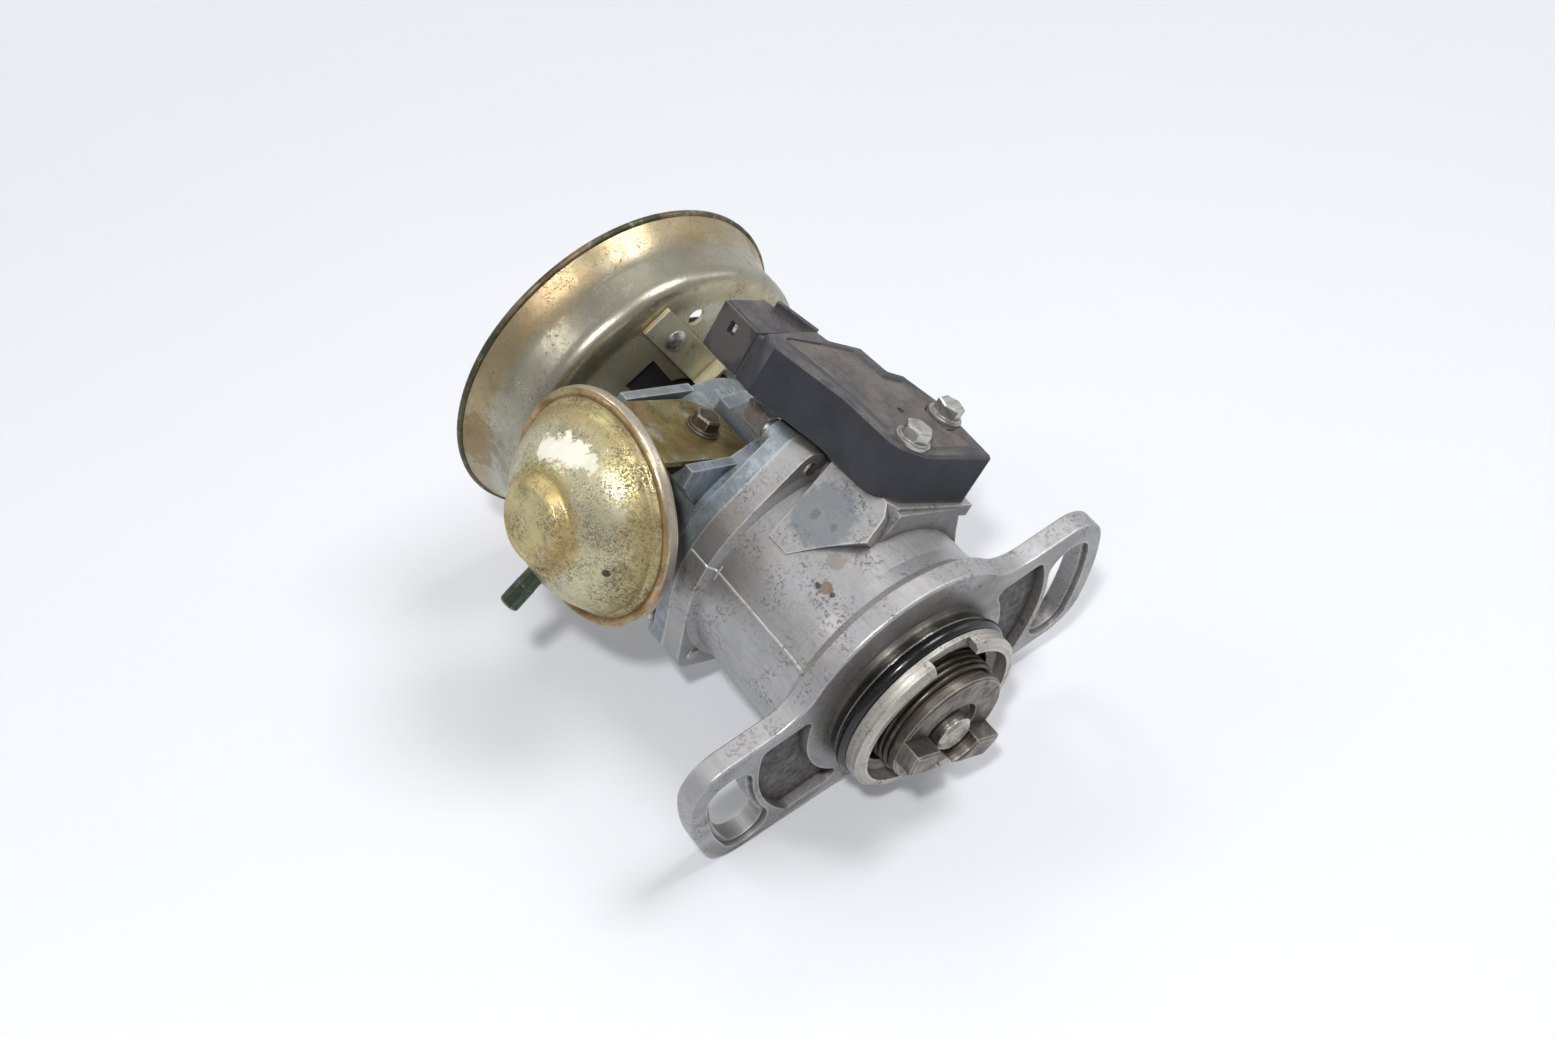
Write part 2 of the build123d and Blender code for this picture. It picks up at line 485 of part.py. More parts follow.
ROTOR_SEAT = SLEEVE_END + 0.6       # where the rotor's skirt starts on the sleeve
ROTOR_TOP = SLEEVE_END - 10.0
with BuildPart() as rotor_contact:
    with BuildSketch(Plane.YZ.offset(ROTOR_TOP - 0.2)):
        with BuildLine():
            Polyline((3, 2.2), (26, 2.2), polar(34, 11), polar(34, -11), (26, -2.2), (3, -2.2), close=True)
        make_face()
        Circle(4.2)
    extrude(amount=1.0)
    add(rod(ROTOR_TOP - 2.2, ROTOR_TOP, 2.2))
    fillet(rotor_contact.edges().filter_by(GeomType.CIRCLE).sort_by(Axis.X)[0], 1.2)
save(rotor_contact.part, "rotor_contact")

with BuildPart() as rotor_arm:
    add(turned((ROTOR_SEAT, SLEEVE_R), (ROTOR_SEAT, 11), (ROTOR_TOP + 1, 11), (ROTOR_TOP, 9.5),
               (ROTOR_TOP, 0), (SLEEVE_END, 0), (SLEEVE_END, SLEEVE_R)))
    with BuildSketch(Plane.YZ.offset(ROTOR_TOP)):
        with BuildLine():
            Polyline(polar(11, 40), polar(33, 14), polar(33, -14), polar(11, -40), (-12, -5.5), (-12, 5.5),
                     close=True)
        make_face()
    extrude(amount=4.2)
    add(rotor_contact.part, mode=Mode.SUBTRACT)
save(rotor_arm.part, "rotor_arm")

# ================================================================================================
# Pickup: plate which turns on the upper housing's bearing, coil unit, retaining clip, dust cover
# ================================================================================================
PLATE_FRONT, PLATE_BACK, PLATE_R = -72.1, -73.9, 18.2
with BuildPart() as pickup_plate:
    add(turned((PLATE_FRONT, BEARING_R + RUNNING_GAP), (PLATE_FRONT, PLATE_R), (PLATE_BACK, PLATE_R),
               (PLATE_BACK, BEARING_R + RUNNING_GAP)))
    with BuildSketch(Plane.YZ.offset(PLATE_BACK - 1)):
        with PolarLocations(15.2, 3, start_angle=160, angular_range=160):
            Circle(1.6)
    extrude(amount=4, mode=Mode.SUBTRACT)
    pin_y, pin_z = -CAN_DOWN.Y * PLATE_PIN_ORBIT, -CAN_DOWN.Z * PLATE_PIN_ORBIT
    add(rod(PLATE_FRONT, -69.4, ROD_PIN_R, pin_y, pin_z))
save(pickup_plate.part, "pickup_plate")

with BuildPart() as pickup_coil:
    # moulded coil body on the plate, its steel pole facing the reluctor
    with BuildSketch(Plane.YZ.offset(-85.0)):
        Circle(18.0)
        Circle(14.4, mode=Mode.SUBTRACT)
        with BuildLine():
            Polyline((0, 0), polar(40, -42), polar(40, 0), polar(40, 42), close=True)
        make_face(mode=Mode.INTERSECT)
    extrude(amount=PLATE_BACK + 85.0)
    fillet(pickup_coil.edges().filter_by(Axis.X), 0.8)
save(pickup_coil.part, "pickup_coil")

with BuildPart() as pickup_pole:
    with BuildSketch(Plane.YZ.offset(-84)):
        Circle(14.4)
        Circle(12.9, mode=Mode.SUBTRACT)
        with BuildLine():
            Polyline((0, 0), polar(40, -16), polar(40, 0), polar(40, 16), close=True)
        make_face(mode=Mode.INTERSECT)
    extrude(amount=6.5)
save(pickup_pole.part, "pickup_pole")

with BuildPart() as plate_clip:
    with BuildSketch(Plane.YZ.offset(CLIP_X - 0.65)):
        Circle(13.0)
        Circle(BEARING_R - 0.55, mode=Mode.SUBTRACT)
        with Locations((0, 12)):
            Rectangle(5, 6, mode=Mode.SUBTRACT)
    extrude(amount=0.6)
save(plate_clip.part, "plate_clip")

with BuildPart() as dust_cover:
    add(turned((-101.0, 9.2), (-101.0, 29), (-104.4, 29), (-104.4, 27.4), (-102.6, 27.4), (-102.6, 12.6),
               (-103.0, 12.2), (-103.0, 9.2)))
    for angle in RIVET_ANGLES:
        add(rod(-105, -100, 3.4, *polar(RIVET_ORBIT, angle)), mode=Mode.SUBTRACT)
save(dust_cover.part, "dust_cover")

# ================================================================================================
# Shield dish with its rolled rim, brackets and rivets
# ================================================================================================
with BuildPart() as shield_dish:
    with BuildSketch(Plane.XZ):
        with BuildLine() as wall:
            base = Line((UPPER_END, DISH_HOLE_R), (UPPER_END, DISH_WALL_R - DISH_CORNER_R))
            corner = RadiusArc(base @ 1, (UPPER_END - DISH_CORNER_R, DISH_WALL_R), -DISH_CORNER_R)
            side = Line(corner @ 1, (UPPER_END - DISH_WALL_DEPTH, DISH_WALL_R + 0.3))
            bend = TangentArc(side @ 1, side @ 1 + (-DISH_BEND, 0.8), tangent=side % 1)
            Line(bend @ 1, (DISH_RIM_X, DISH_RIM_R))
            offset(amount=DISH_SHEET, side=Side.LEFT)
        make_face()
    revolve(axis=Axis.X)
    with BuildSketch(Plane.XZ):
        with Locations((DISH_RIM_X - 0.4, DISH_RIM_R - 0.3)):
            Circle(DISH_BEAD_R)
    revolve(axis=Axis.X)
    # window beside the shaft, drain hole
    with BuildSketch(Plane.YZ.offset(UPPER_END - 4)):
        with Locations((-12.0, 10.8)):
            Rectangle(14, 9.5, rotation=-33)
        with Locations((-8.1, 32.0)):
            Circle(2.4)
    extrude(amount=6, mode=Mode.SUBTRACT)
    for angle in RIVET_ANGLES:
        add(rod(UPPER_END - 3, UPPER_END + 1, 1.5, *polar(RIVET_ORBIT, angle)), mode=Mode.SUBTRACT)
save(shield_dish.part, "shield_dish")

BRACKET_SHEET = 1.3
with BuildPart() as shield_bracket:
    # strip flat on the dish with a leg bent forward beside the upper housing
    with BuildSketch(Plane.YZ.offset(UPPER_END)):
        with Locations((-8.6, 23.4)):
            Rectangle(32, 8.6, rotation=-30)
    extrude(amount=BRACKET_SHEET)
    strip_end = Vector(UPPER_END, -8.6 + 16 * cos(radians(30)), 23.4 - 16 * sin(radians(30)))
    with BuildSketch(Plane(origin=strip_end, x_dir=(1, 0, 0), z_dir=(0, cos(radians(30)), -0.5))):
        with Locations((2.6, 0)):
            Rectangle(5.2, 8.6)
    extrude(amount=-BRACKET_SHEET)
    fillet(shield_bracket.edges().group_by(Axis.X)[-1].filter_by(
        lambda e: e.length < 2).sort_by(Axis.Z), 0.4)
save(shield_bracket.part, "shield_bracket")

with BuildPart() as shield_rivets:
    with BuildSketch(Plane.XZ) as rivet_half:
        with BuildLine():
            Polyline((0, 0), (0, 3.1), (0.5, 3.0), (1.2, 2.2), (1.5, 1.2), (1.6, 0), close=True)
        make_face()
    revolve(axis=Axis.X)
rivet = shield_rivets.part
head_x = UPPER_END + BRACKET_SHEET
housing_rivets = [rivet.moved(Location((UPPER_END - DISH_SHEET, *polar(RIVET_ORBIT, angle)), (0, 0, 180)))
                  for angle in RIVET_ANGLES]
shield_rivets.part = Compound([rivet.moved(Location((head_x, -13.2, 26.1))), *housing_rivets])
save(shield_rivets.part, "shield_rivets")

# ================================================================================================
# Vacuum unit, modelled about its own axis and moved into place
# ================================================================================================
FRONT_FACE_X, FRONT_BOSS_R = 19.5, 10.4
NIPPLE_R, NIPPLE_ROOT_R, NIPPLE_BORE_R = 2.6, 2.5, 1.6
NIPPLE_STOP, NIPPLE_LENGTH = 3.6, 10.2      # along the nipple from the cover
NIPPLE_SINK = 2.0
nipple_base = Vector(CAN_CENTRE) + CAN_OUT * 10.95 + CAN_DOWN * 18.9
nipple_out = (CAN_OUT * 0.535 + CAN_DOWN * 0.845).normalized()
nipple_root = Plane(origin=nipple_base - nipple_out * NIPPLE_SINK, x_dir=(1, 0, 0), z_dir=nipple_out)
with BuildPart() as vacuum_cover:
    outer = [(2.2, 26.4), (3.0, 25.4), (4.6, 24.8), (9.5, 21.4), (13.0, 17.0), (14.9, 14.6), (15.5, 13.6),
             (15.9, FRONT_BOSS_R + 0.9), (18.6, FRONT_BOSS_R), (FRONT_FACE_X, FRONT_BOSS_R - 1.1)]
    rim = [(1.6, 27.4), (2.2, 28.2), (1.4, CAN_RIM_R), (-1.2, CAN_RIM_R), (-2.0, 28.2), (-1.2, 27.2),
             (-0.6, 27.2)]
    inner = [(x - CAN_SHEET, max(r - CAN_SHEET, 0)) for x, r in outer]
    add(turned(*rim, (1.2, 26.4), *inner, (FRONT_FACE_X - CAN_SHEET, 0), (FRONT_FACE_X, 0),
               *reversed(outer)).moved(CAN))
    with BuildSketch(nipple_root):
        Circle(NIPPLE_ROOT_R)
    extrude(amount=NIPPLE_SINK + NIPPLE_STOP, mode=Mode.SUBTRACT)
save(vacuum_cover.part, "vacuum_cover")

with BuildPart() as hose_nipple:
    # the land which the hose grips stands a little proud of the root
    with BuildSketch(nipple_root):
        Circle(NIPPLE_ROOT_R)
    extrude(amount=NIPPLE_SINK + NIPPLE_STOP)
    with BuildSketch(nipple_root.offset(NIPPLE_SINK + NIPPLE_STOP)):
        Circle(NIPPLE_R)
    extrude(amount=NIPPLE_LENGTH - NIPPLE_STOP)
    chamfer(hose_nipple.edges().filter_by(GeomType.CIRCLE).sort_by(Axis(nipple_base, nipple_out))[-1], 0.3)
    with BuildSketch(nipple_root):
        Circle(NIPPLE_BORE_R)
    extrude(amount=NIPPLE_SINK + NIPPLE_LENGTH, mode=Mode.SUBTRACT)
save(hose_nipple.part, "hose_nipple")

with BuildPart() as vacuum_back:
    add(turned((-0.7, 27.1), (-0.7, 25.9), (-4.6, 22.4), (-4.6, 4.2), (-5.5, 4.2), (-5.5, 23.0),
               (-1.7, 27.1)).moved(CAN))
save(vacuum_back.part, "vacuum_back")

with BuildPart() as diaphragm:
    add(turned((0.2, 0.9), (0.2, 19.6), (1.3, 21.0), (0.2, 23.0), (-0.4, 24.2), (-0.9, 24.2), (-0.3, 22.8),
               (0.6, 21.0), (-0.5, 19.4), (-0.5, 0.9)).moved(CAN))
save(diaphragm.part, "diaphragm")

with BuildPart() as diaphragm_cups:
    add(turned((0.2, 0), (0.2, 16), (2.0, 16.4), (2.0, 15.8), (0.9, 15.4), (0.9, 5.4), (1.6, 4.8), (1.6, 0))
        .moved(CAN))
    add(turned((-0.5, 0), (-0.5, 15), (-1.2, 15), (-1.2, 0)).moved(CAN))
save(diaphragm_cups.part, "diaphragm_cups")

with BuildPart() as vacuum_spring:
    spring_r, spring_wire = 8.0, 0.6
    wound = coil(spring_r, 3.15, 15.6, spring_wire)
    add(wound.moved(CAN * Plane(origin=(1.6, 0, 0), x_dir=(0, 1, 0), z_dir=(1, 0, 0)).location))
save(vacuum_spring.part, "vacuum_spring")

SHAFT_OFFSET_X = (Vector(CAN_CENTRE[0], 0, 0) - Vector(CAN_CENTRE)).dot(CAN_OUT)
SHAFT_OFFSET_Y = (Vector(CAN_CENTRE[0], 0, 0) - Vector(CAN_CENTRE)).dot(CAN_DOWN)
with BuildPart() as pull_rod:
    pin_x, pin_y = SHAFT_OFFSET_X, SHAFT_OFFSET_Y - PLATE_PIN_ORBIT
    half = ROD_WIDTH / 2
    with BuildSketch(Plane(origin=CAN_CENTRE, x_dir=CAN_OUT, z_dir=(1, 0, 0)).offset(-ROD_THICKNESS / 2)):
        with BuildLine():
            Polyline((-1.2, -half), (-1.2, half), (-30.6, half), (pin_x + 3.2, pin_y + half),
                     (pin_x, pin_y + half),
                     (pin_x, pin_y - half), (pin_x + 4.4, pin_y - half), (-29.4, -half), close=True)
        make_face()
        with Locations((pin_x, pin_y)):
            Circle(3.0)
            SlotOverall(2 * (ROD_PIN_R + PIN_GAP) + 0.8, 2 * (ROD_PIN_R + PIN_GAP), rotation=90,
                        mode=Mode.SUBTRACT)
    extrude(amount=ROD_THICKNESS)
save(pull_rod.part, "pull_rod")

with BuildPart() as vacuum_bracket:
    # shelf plate bolted on the saddle, then a leg which follows the back shell down
    LEG_TOP = (SADDLE_Z + 1.5 - CAN_CENTRE[2] + 5.6 * CAN_OUT.Z) / cos(radians(CAN_TILT))
    add(plate(SADDLE_Z, SADDLE_Z + 1.5, (-83.0, -44.6), (-60.8, -44.6), (-60.8, -16.0), (-65, -12.4),
              (-78, -12.4), (-83.0, -19.0)))

    with BuildSketch(Plane(origin=Vector(CAN_CENTRE) + CAN_OUT * -5.6, x_dir=(1, 0, 0), z_dir=-CAN_OUT)):
        with BuildLine():
            Polyline((-12.3, -LEG_TOP), (9.9, -LEG_TOP), (9.9, 4 - LEG_TOP), (7, -8.5), (-7, -8.5),
                     (-12.3, 4 - LEG_TOP), close=True)
        make_face()
    extrude(amount=1.5)
    with Locations((-71.5, -22.5, SADDLE_Z)):
        Cylinder(1.65 + FIT, 8, mode=Mode.SUBTRACT)
save(vacuum_bracket.part, "vacuum_bracket")


def hex_bolt(length, radius):
    """Hexagon-head bolt with a plain washer, standing on XY."""
    with BuildPart() as body:
        Cylinder(HEX_WASHER_R, 0.8, align=(Align.CENTER, Align.CENTER, Align.MIN))
        with BuildSketch(Plane.XY.offset(0.8)):
            Circle(HEX_WASHER_R - 0.5)
        extrude(amount=0.6, taper=8)
        with BuildSketch(Plane.XY.offset(1.4)):
            RegularPolygon(HEX_FLATS / 2, 6, major_radius=False)
        extrude(amount=HEX_HEIGHT - 0.6)
        chamfer(body.faces().sort_by(Axis.Z)[-1].edges(), 0.4)
        with Locations((0, 0, 0)):
            Cylinder(radius, length, align=(Align.CENTER, Align.CENTER, Align.MAX))
    return body.part


save(hex_bolt(9, 1.65).moved(Location((-71.5, -22.5, SADDLE_Z + 1.5), (0, 0, 18))), "bracket_bolt")

# ================================================================================================
# Ignition module: case on the seat, board, lid, terminals and bolts
# ================================================================================================
CASE_TOP = 51.5
CASE_OUTLINE = [(-20.2, 13.6), (-41.4, 14.6), (-51.5, 11.2), (-53.4, 6.9), (-62.4, 5.6), (-65.6, -3.6),
                (-78.6, -8.0), (-83.2, -9.5), (-83.2, -24.0), (-70.2, -24.0), (-63.5, -24.6), (-44.6, -18.4),
                (-27.2, -16.8), (-22.4, -9.4)]
NEAR_CORNERS, NEAR_CORNER_R = CASE_OUTLINE[-2:], 6.0
LID_OUTLINE = [(-24.6, 9.8), (-30.6, 10.0), (-31.0, 6.6), (-38.6, 6.4), (-41.0, 10.4), (-48.6, 8.2),
               (-51.0, 2.4), (-60.6, 1.4), (-63.8, -7.6), (-66.5, -18.8), (-45.6, -14.2), (-33.8, -13.6),
               (-33.0, -5.0), (-25.4, -4.4)]
SOCKET_WIDTH, SOCKET_HEIGHT, SOCKET_DEPTH = 10.4, 8.2, 12.0
SOCKET_Y, SOCKET_Z = -16.8, 43.9
TERMINAL_PITCH = 2.9
with BuildPart() as module_case:
    with BuildSketch(Plane.XY.offset(SEAT_Z)) as case_outline:
        with BuildLine():
            Polyline(*CASE_OUTLINE, close=True)
        make_face()
        fillet(case_outline.vertices().filter_by(
            lambda v: (round(v.X, 1), round(v.Y, 1)) not in NEAR_CORNERS), 0.9)
        fillet(case_outline.vertices().filter_by(
            lambda v: (round(v.X, 1), round(v.Y, 1)) in NEAR_CORNERS), NEAR_CORNER_R)
    extrude(amount=CASE_TOP - SEAT_Z)
    chamfer(module_case.faces().sort_by(Axis.Z)[-1].outer_wire().edges(), 0.7)
    # step of the top face down to the connector
    add(plate(CASE_TOP - 1.6, CASE_TOP + 2, (-69.2, 8), (-90, 8), (-90, -30), (-67.6, -30)),
        mode=Mode.SUBTRACT)
    # tray for the board under the lid
    with BuildSketch(Plane.XY.offset(CASE_TOP - 9)) as tray_outline:
        with BuildLine():
            Polyline(*LID_OUTLINE, close=True)
        make_face()
        fillet(tray_outline.vertices(), 1.0)
        offset(tray_outline.sketch, amount=-1.4, mode=Mode.REPLACE)
    extrude(amount=12, mode=Mode.SUBTRACT)
    with BuildSketch(Plane.XY.offset(CASE_TOP - 1.5)) as lid_seat:
        with BuildLine():
            Polyline(*LID_OUTLINE, close=True)
        make_face()
        fillet(lid_seat.vertices(), 1.0)
        offset(lid_seat.sketch, amount=0.35, mode=Mode.REPLACE)
    extrude(amount=3, mode=Mode.SUBTRACT)
    # connector socket open at the case's far end, latch slot in its side wall
    with BuildSketch(Plane.YZ.offset(CASE_OUTLINE[7][0] - 1)):
        with Locations((SOCKET_Y, SOCKET_Z)):
            RectangleRounded(SOCKET_WIDTH, SOCKET_HEIGHT, 1.2)
    extrude(amount=SOCKET_DEPTH + 1, mode=Mode.SUBTRACT)
    with Locations((-77.1, SOCKET_Y - SOCKET_WIDTH / 2, 46.0)):
        Box(2.6, 8, 3.2, mode=Mode.SUBTRACT)
    with Locations((-28.2, -10.0, CASE_TOP), (-35.5, 10.5, CASE_TOP)):
        Cylinder(1.65 + FIT, 40, mode=Mode.SUBTRACT)
save(module_case.part, "module_case")

with BuildPart() as module_board:
    with BuildSketch(Plane.XY.offset(CASE_TOP - 9)) as board_outline:
        with BuildLine():
            Polyline(*LID_OUTLINE, close=True)
        make_face()
        offset(board_outline.sketch, amount=-2.4, mode=Mode.REPLACE)
    extrude(amount=1.6)
    with Locations((-44, -4, CASE_TOP - 5.9)):
        Box(12, 9, 3)
    with Locations((-56, -10, CASE_TOP - 6.4)):
        Box(6, 5, 2)
    with Locations((-34, 1, CASE_TOP - 6.4)):
        Box(4, 3, 2)
save(module_board.part, "module_board")

with BuildPart() as module_lid:
    with BuildSketch(Plane.XY.offset(CASE_TOP - 1.5)) as lid_outline:
        with BuildLine():
            Polyline(*LID_OUTLINE, close=True)
        make_face()
        fillet(lid_outline.vertices(), 1.0)
    extrude(amount=1.3)
    with Locations((-39.0, -2.6, CASE_TOP)):
        Cylinder(1.0, 6, mode=Mode.SUBTRACT)
    chamfer(module_lid.faces().sort_by(Axis.Z)[-1].outer_wire().edges(), 0.3)
save(module_lid.part, "module_lid")

with BuildPart() as module_terminals:
    socket_floor = CASE_OUTLINE[7][0] + SOCKET_DEPTH
    with Locations(*[(socket_floor, SOCKET_Y + step * TERMINAL_PITCH, SOCKET_Z) for step in (-1, 0, 1)]):
        Box(8.0, 0.8, 2.4, align=(Align.MAX, Align.CENTER, Align.CENTER))
save(module_terminals.part, "module_terminals")

bolt = hex_bolt(20, 1.65)
save(Compound([bolt.moved(Location((-28.2, -10.0, CASE_TOP), (0, 0, 12))),
               bolt.moved(Location((-35.5, 10.5, CASE_TOP), (0, 0, 40)))]), "module_bolts")
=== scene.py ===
"""Looks of an engine's ignition distributor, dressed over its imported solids.

Row frame, metres: +X runs along the shaft out of the drive end, the origin is the centre of the
mounting flange's front face, and +Z leaves through the ignition module.
"""
from __future__ import annotations

import logging
import math
from dataclasses import dataclass
from enum import Enum
from typing import Any, Dict, Iterable, List, Sequence, Tuple

import bmesh
import bpy
from mathutils import Matrix, Vector, noise

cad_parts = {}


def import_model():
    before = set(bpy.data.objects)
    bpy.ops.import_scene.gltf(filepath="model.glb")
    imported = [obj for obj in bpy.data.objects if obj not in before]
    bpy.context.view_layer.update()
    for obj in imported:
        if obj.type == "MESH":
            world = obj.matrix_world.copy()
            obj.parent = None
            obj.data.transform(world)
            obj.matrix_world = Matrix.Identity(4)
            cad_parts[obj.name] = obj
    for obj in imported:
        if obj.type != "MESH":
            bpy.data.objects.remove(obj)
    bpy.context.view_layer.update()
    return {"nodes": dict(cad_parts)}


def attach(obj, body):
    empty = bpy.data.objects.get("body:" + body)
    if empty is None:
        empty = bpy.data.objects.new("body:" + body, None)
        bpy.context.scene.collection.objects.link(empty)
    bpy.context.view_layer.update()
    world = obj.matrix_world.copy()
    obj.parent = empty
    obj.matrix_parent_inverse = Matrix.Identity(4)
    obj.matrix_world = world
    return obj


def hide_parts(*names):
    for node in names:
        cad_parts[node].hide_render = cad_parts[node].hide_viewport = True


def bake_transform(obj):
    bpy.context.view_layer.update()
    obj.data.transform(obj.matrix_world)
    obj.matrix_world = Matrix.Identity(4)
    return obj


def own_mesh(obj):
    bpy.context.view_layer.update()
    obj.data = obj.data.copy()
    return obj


Colour = Tuple[float, float, float, float]
Point = Tuple[float, float, float]
Zone = Tuple[float, float, float, float]

LOG = logging.getLogger("distributor")
MM = 0.001
SEED_STEP = 37.0            # millimetres of noise between one seed and the next
EDGE_REACH = 1.5 * MM       # how far an edge's wear looks for open air
EASED_EDGE = 0.25 * MM      # radius that every sharp edge shows


def paint(red: int, green: int, blue: int) -> Colour:
    """Linear colour of an 8-bit display colour.

    Args:
        red: red level, 0 to 255.
        green: green level, 0 to 255.
        blue: blue level, 0 to 255.

    Returns:
        The colour as linear red, green, blue and an alpha of 1.
    """
    levels = [value / 255.0 for value in (red, green, blue)]
    linear = [v / 12.92 if v <= 0.04045 else ((v + 0.055) / 1.055) ** 2.4 for v in levels]
    return (linear[0], linear[1], linear[2], 1.0)


# --- shader sheets -------------------------------------------------------------------------------
class Sheet:
    """A shader tree being laid out: it adds nodes and joins their sockets."""

    def __init__(self, tree: bpy.types.NodeTree) -> None:
        """Starts on a tree.

        Args:
            tree: the node tree of a material, a world or a group.
        """
        self.tree = tree

    def put(self, socket: bpy.types.NodeSocket, value: Any) -> None:
        """Sets a socket, or joins it to another one.

        Args:
            socket: the input to feed.
            value: a number, a tuple, or the output socket that feeds it.
        """
        if isinstance(value, bpy.types.NodeSocket):
            self.tree.links.new(value, socket)
        else:
            socket.default_value = value

    def add(self, kind: str, inputs: Dict[Any, Any] | None = None, **settings: Any) -> bpy.types.Node:
        """Adds one node.

        Args:
            kind: the node's type, without its ShaderNode prefix.
            inputs: input name or number to value or socket.
            **settings: the node's own properties.

        Returns:
            The new node.
        """
        node = self.tree.nodes.new("ShaderNode" + kind)
        for name, value in settings.items():
            setattr(node, name, value)
        for name, value in (inputs or {}).items():
            self.put(node.inputs[name], value)
        return node

    def math(self, operation: str, first: Any, second: Any = 0.0,
             clamp: bool = False) -> bpy.types.NodeSocket:
        """Output of a Math node.

        Args:
            operation: name of the sum, such as ADD.
            first: first term.
            second: second term.
            clamp: keeps the result between 0 and 1.

        Returns:
            The result's socket.
        """
        return self.add("Math", {0: first, 1: second}, operation=operation, use_clamp=clamp).outputs[0]

    def times(self, first: Any, second: Any) -> bpy.types.NodeSocket:
        """Product of two values."""
        return self.math("MULTIPLY", first, second)

    def noise(self, where: Any, scale: Any, detail: Any = 2.0,
              roughness: float = 0.5) -> bpy.types.NodeSocket:
        """Value of a cloudy noise.

        Args:
            where: the point.
            scale: how many clouds to one unit.
            detail: how many finer layers it has.
            roughness: how strong they are.

        Returns:
            The noise's socket.
        """
        return self.add("TexNoise", {"Vector": where, "Scale": scale, "Detail": detail,
                                     "Roughness": roughness}).outputs[0]

    def scaled(self, vector: Any, scale: Any) -> bpy.types.NodeSocket:
        """A vector times a value."""
        return self.add("VectorMath", {0: vector, "Scale": scale}, operation="SCALE").outputs[0]

    def vector(self, operation: str, first: Any, second: Any = (0.0, 0.0, 0.0),
               out: int = 0) -> bpy.types.NodeSocket:
        """Output of a Vector Math node.

        Args:
            operation: name of the sum, such as DOT_PRODUCT.
            first: first vector.
            second: second vector.
            out: 0 for a vector, 1 for a value.

        Returns:
            The result's socket.
        """
        return self.add("VectorMath", {0: first, 1: second}, operation=operation).outputs[out]

    def mix(self, amount: Any, first: Any, second: Any, blend: str = "MIX") -> bpy.types.NodeSocket:
        """Output of a colour mix.

        Args:
            amount: share of the second colour.
            first: first colour.
            second: second colour.
            blend: name of the way they blend.

        Returns:
            The mixed colour's socket.
        """
        return self.add("Mix", {0: amount, 6: first, 7: second}, data_type="RGBA",
                        blend_type=blend).outputs[2]

    def blend(self, amount: Any, first: Any, second: Any) -> bpy.types.NodeSocket:
        """Output of a mix of two values.

        Args:
            amount: share of the second value.
            first: first value.
            second: second value.

        Returns:
            The mixed value's socket.
        """
        return self.add("Mix", {0: amount, 2: first, 3: second}, data_type="FLOAT").outputs[0]

    def remap(self, value: Any, low: Any, high: Any, to_low: Any = 0.0,
              to_high: Any = 1.0) -> bpy.types.NodeSocket:
        """Eases a value from one range into another, and holds it there.

        Args:
            value: the value.
            low: where the first range starts.
            high: where it ends.
            to_low: where the second range starts.
            to_high: where it ends.

        Returns:
            The eased value's socket.
        """
        return self.add("MapRange", {0: value, 1: low, 2: high, 3: to_low, 4: to_high},
                        interpolation_type="SMOOTHSTEP").outputs[0]

    def between(self, length: Any, zone: Zone) -> bpy.types.NodeSocket:
        """Mask of where a length lies in a zone.

        Args:
            length: the length's socket, in metres.
            zone: where the mask starts to rise, is full, starts to fall and ends, in millimetres.

        Returns:
            The mask's socket.
        """
        rise, full, fall, end = (value * MM for value in zone)
        return self.times(self.remap(length, rise, full), self.remap(length, fall, end, 1.0, 0.0))


class Socket(Enum):
    """Kinds of group sockets."""

    VALUE = "NodeSocketFloat"
    VECTOR = "NodeSocketVector"
    COLOUR = "NodeSocketColor"


class Effect(Enum):
    """Surface effects that several finishes share, each a shader group."""

    PATCHES = "patches"
    SPECKS = "specks"
    EDGES = "worn_edges"
    CORNERS = "corner_grime"
    DUST = "settled_dust"
    GRAIN = "cast_grain"
    TURNING = "turning_marks"
    SPOT = "spot"
    BAND = "band"
    STREAKS = "streaks"


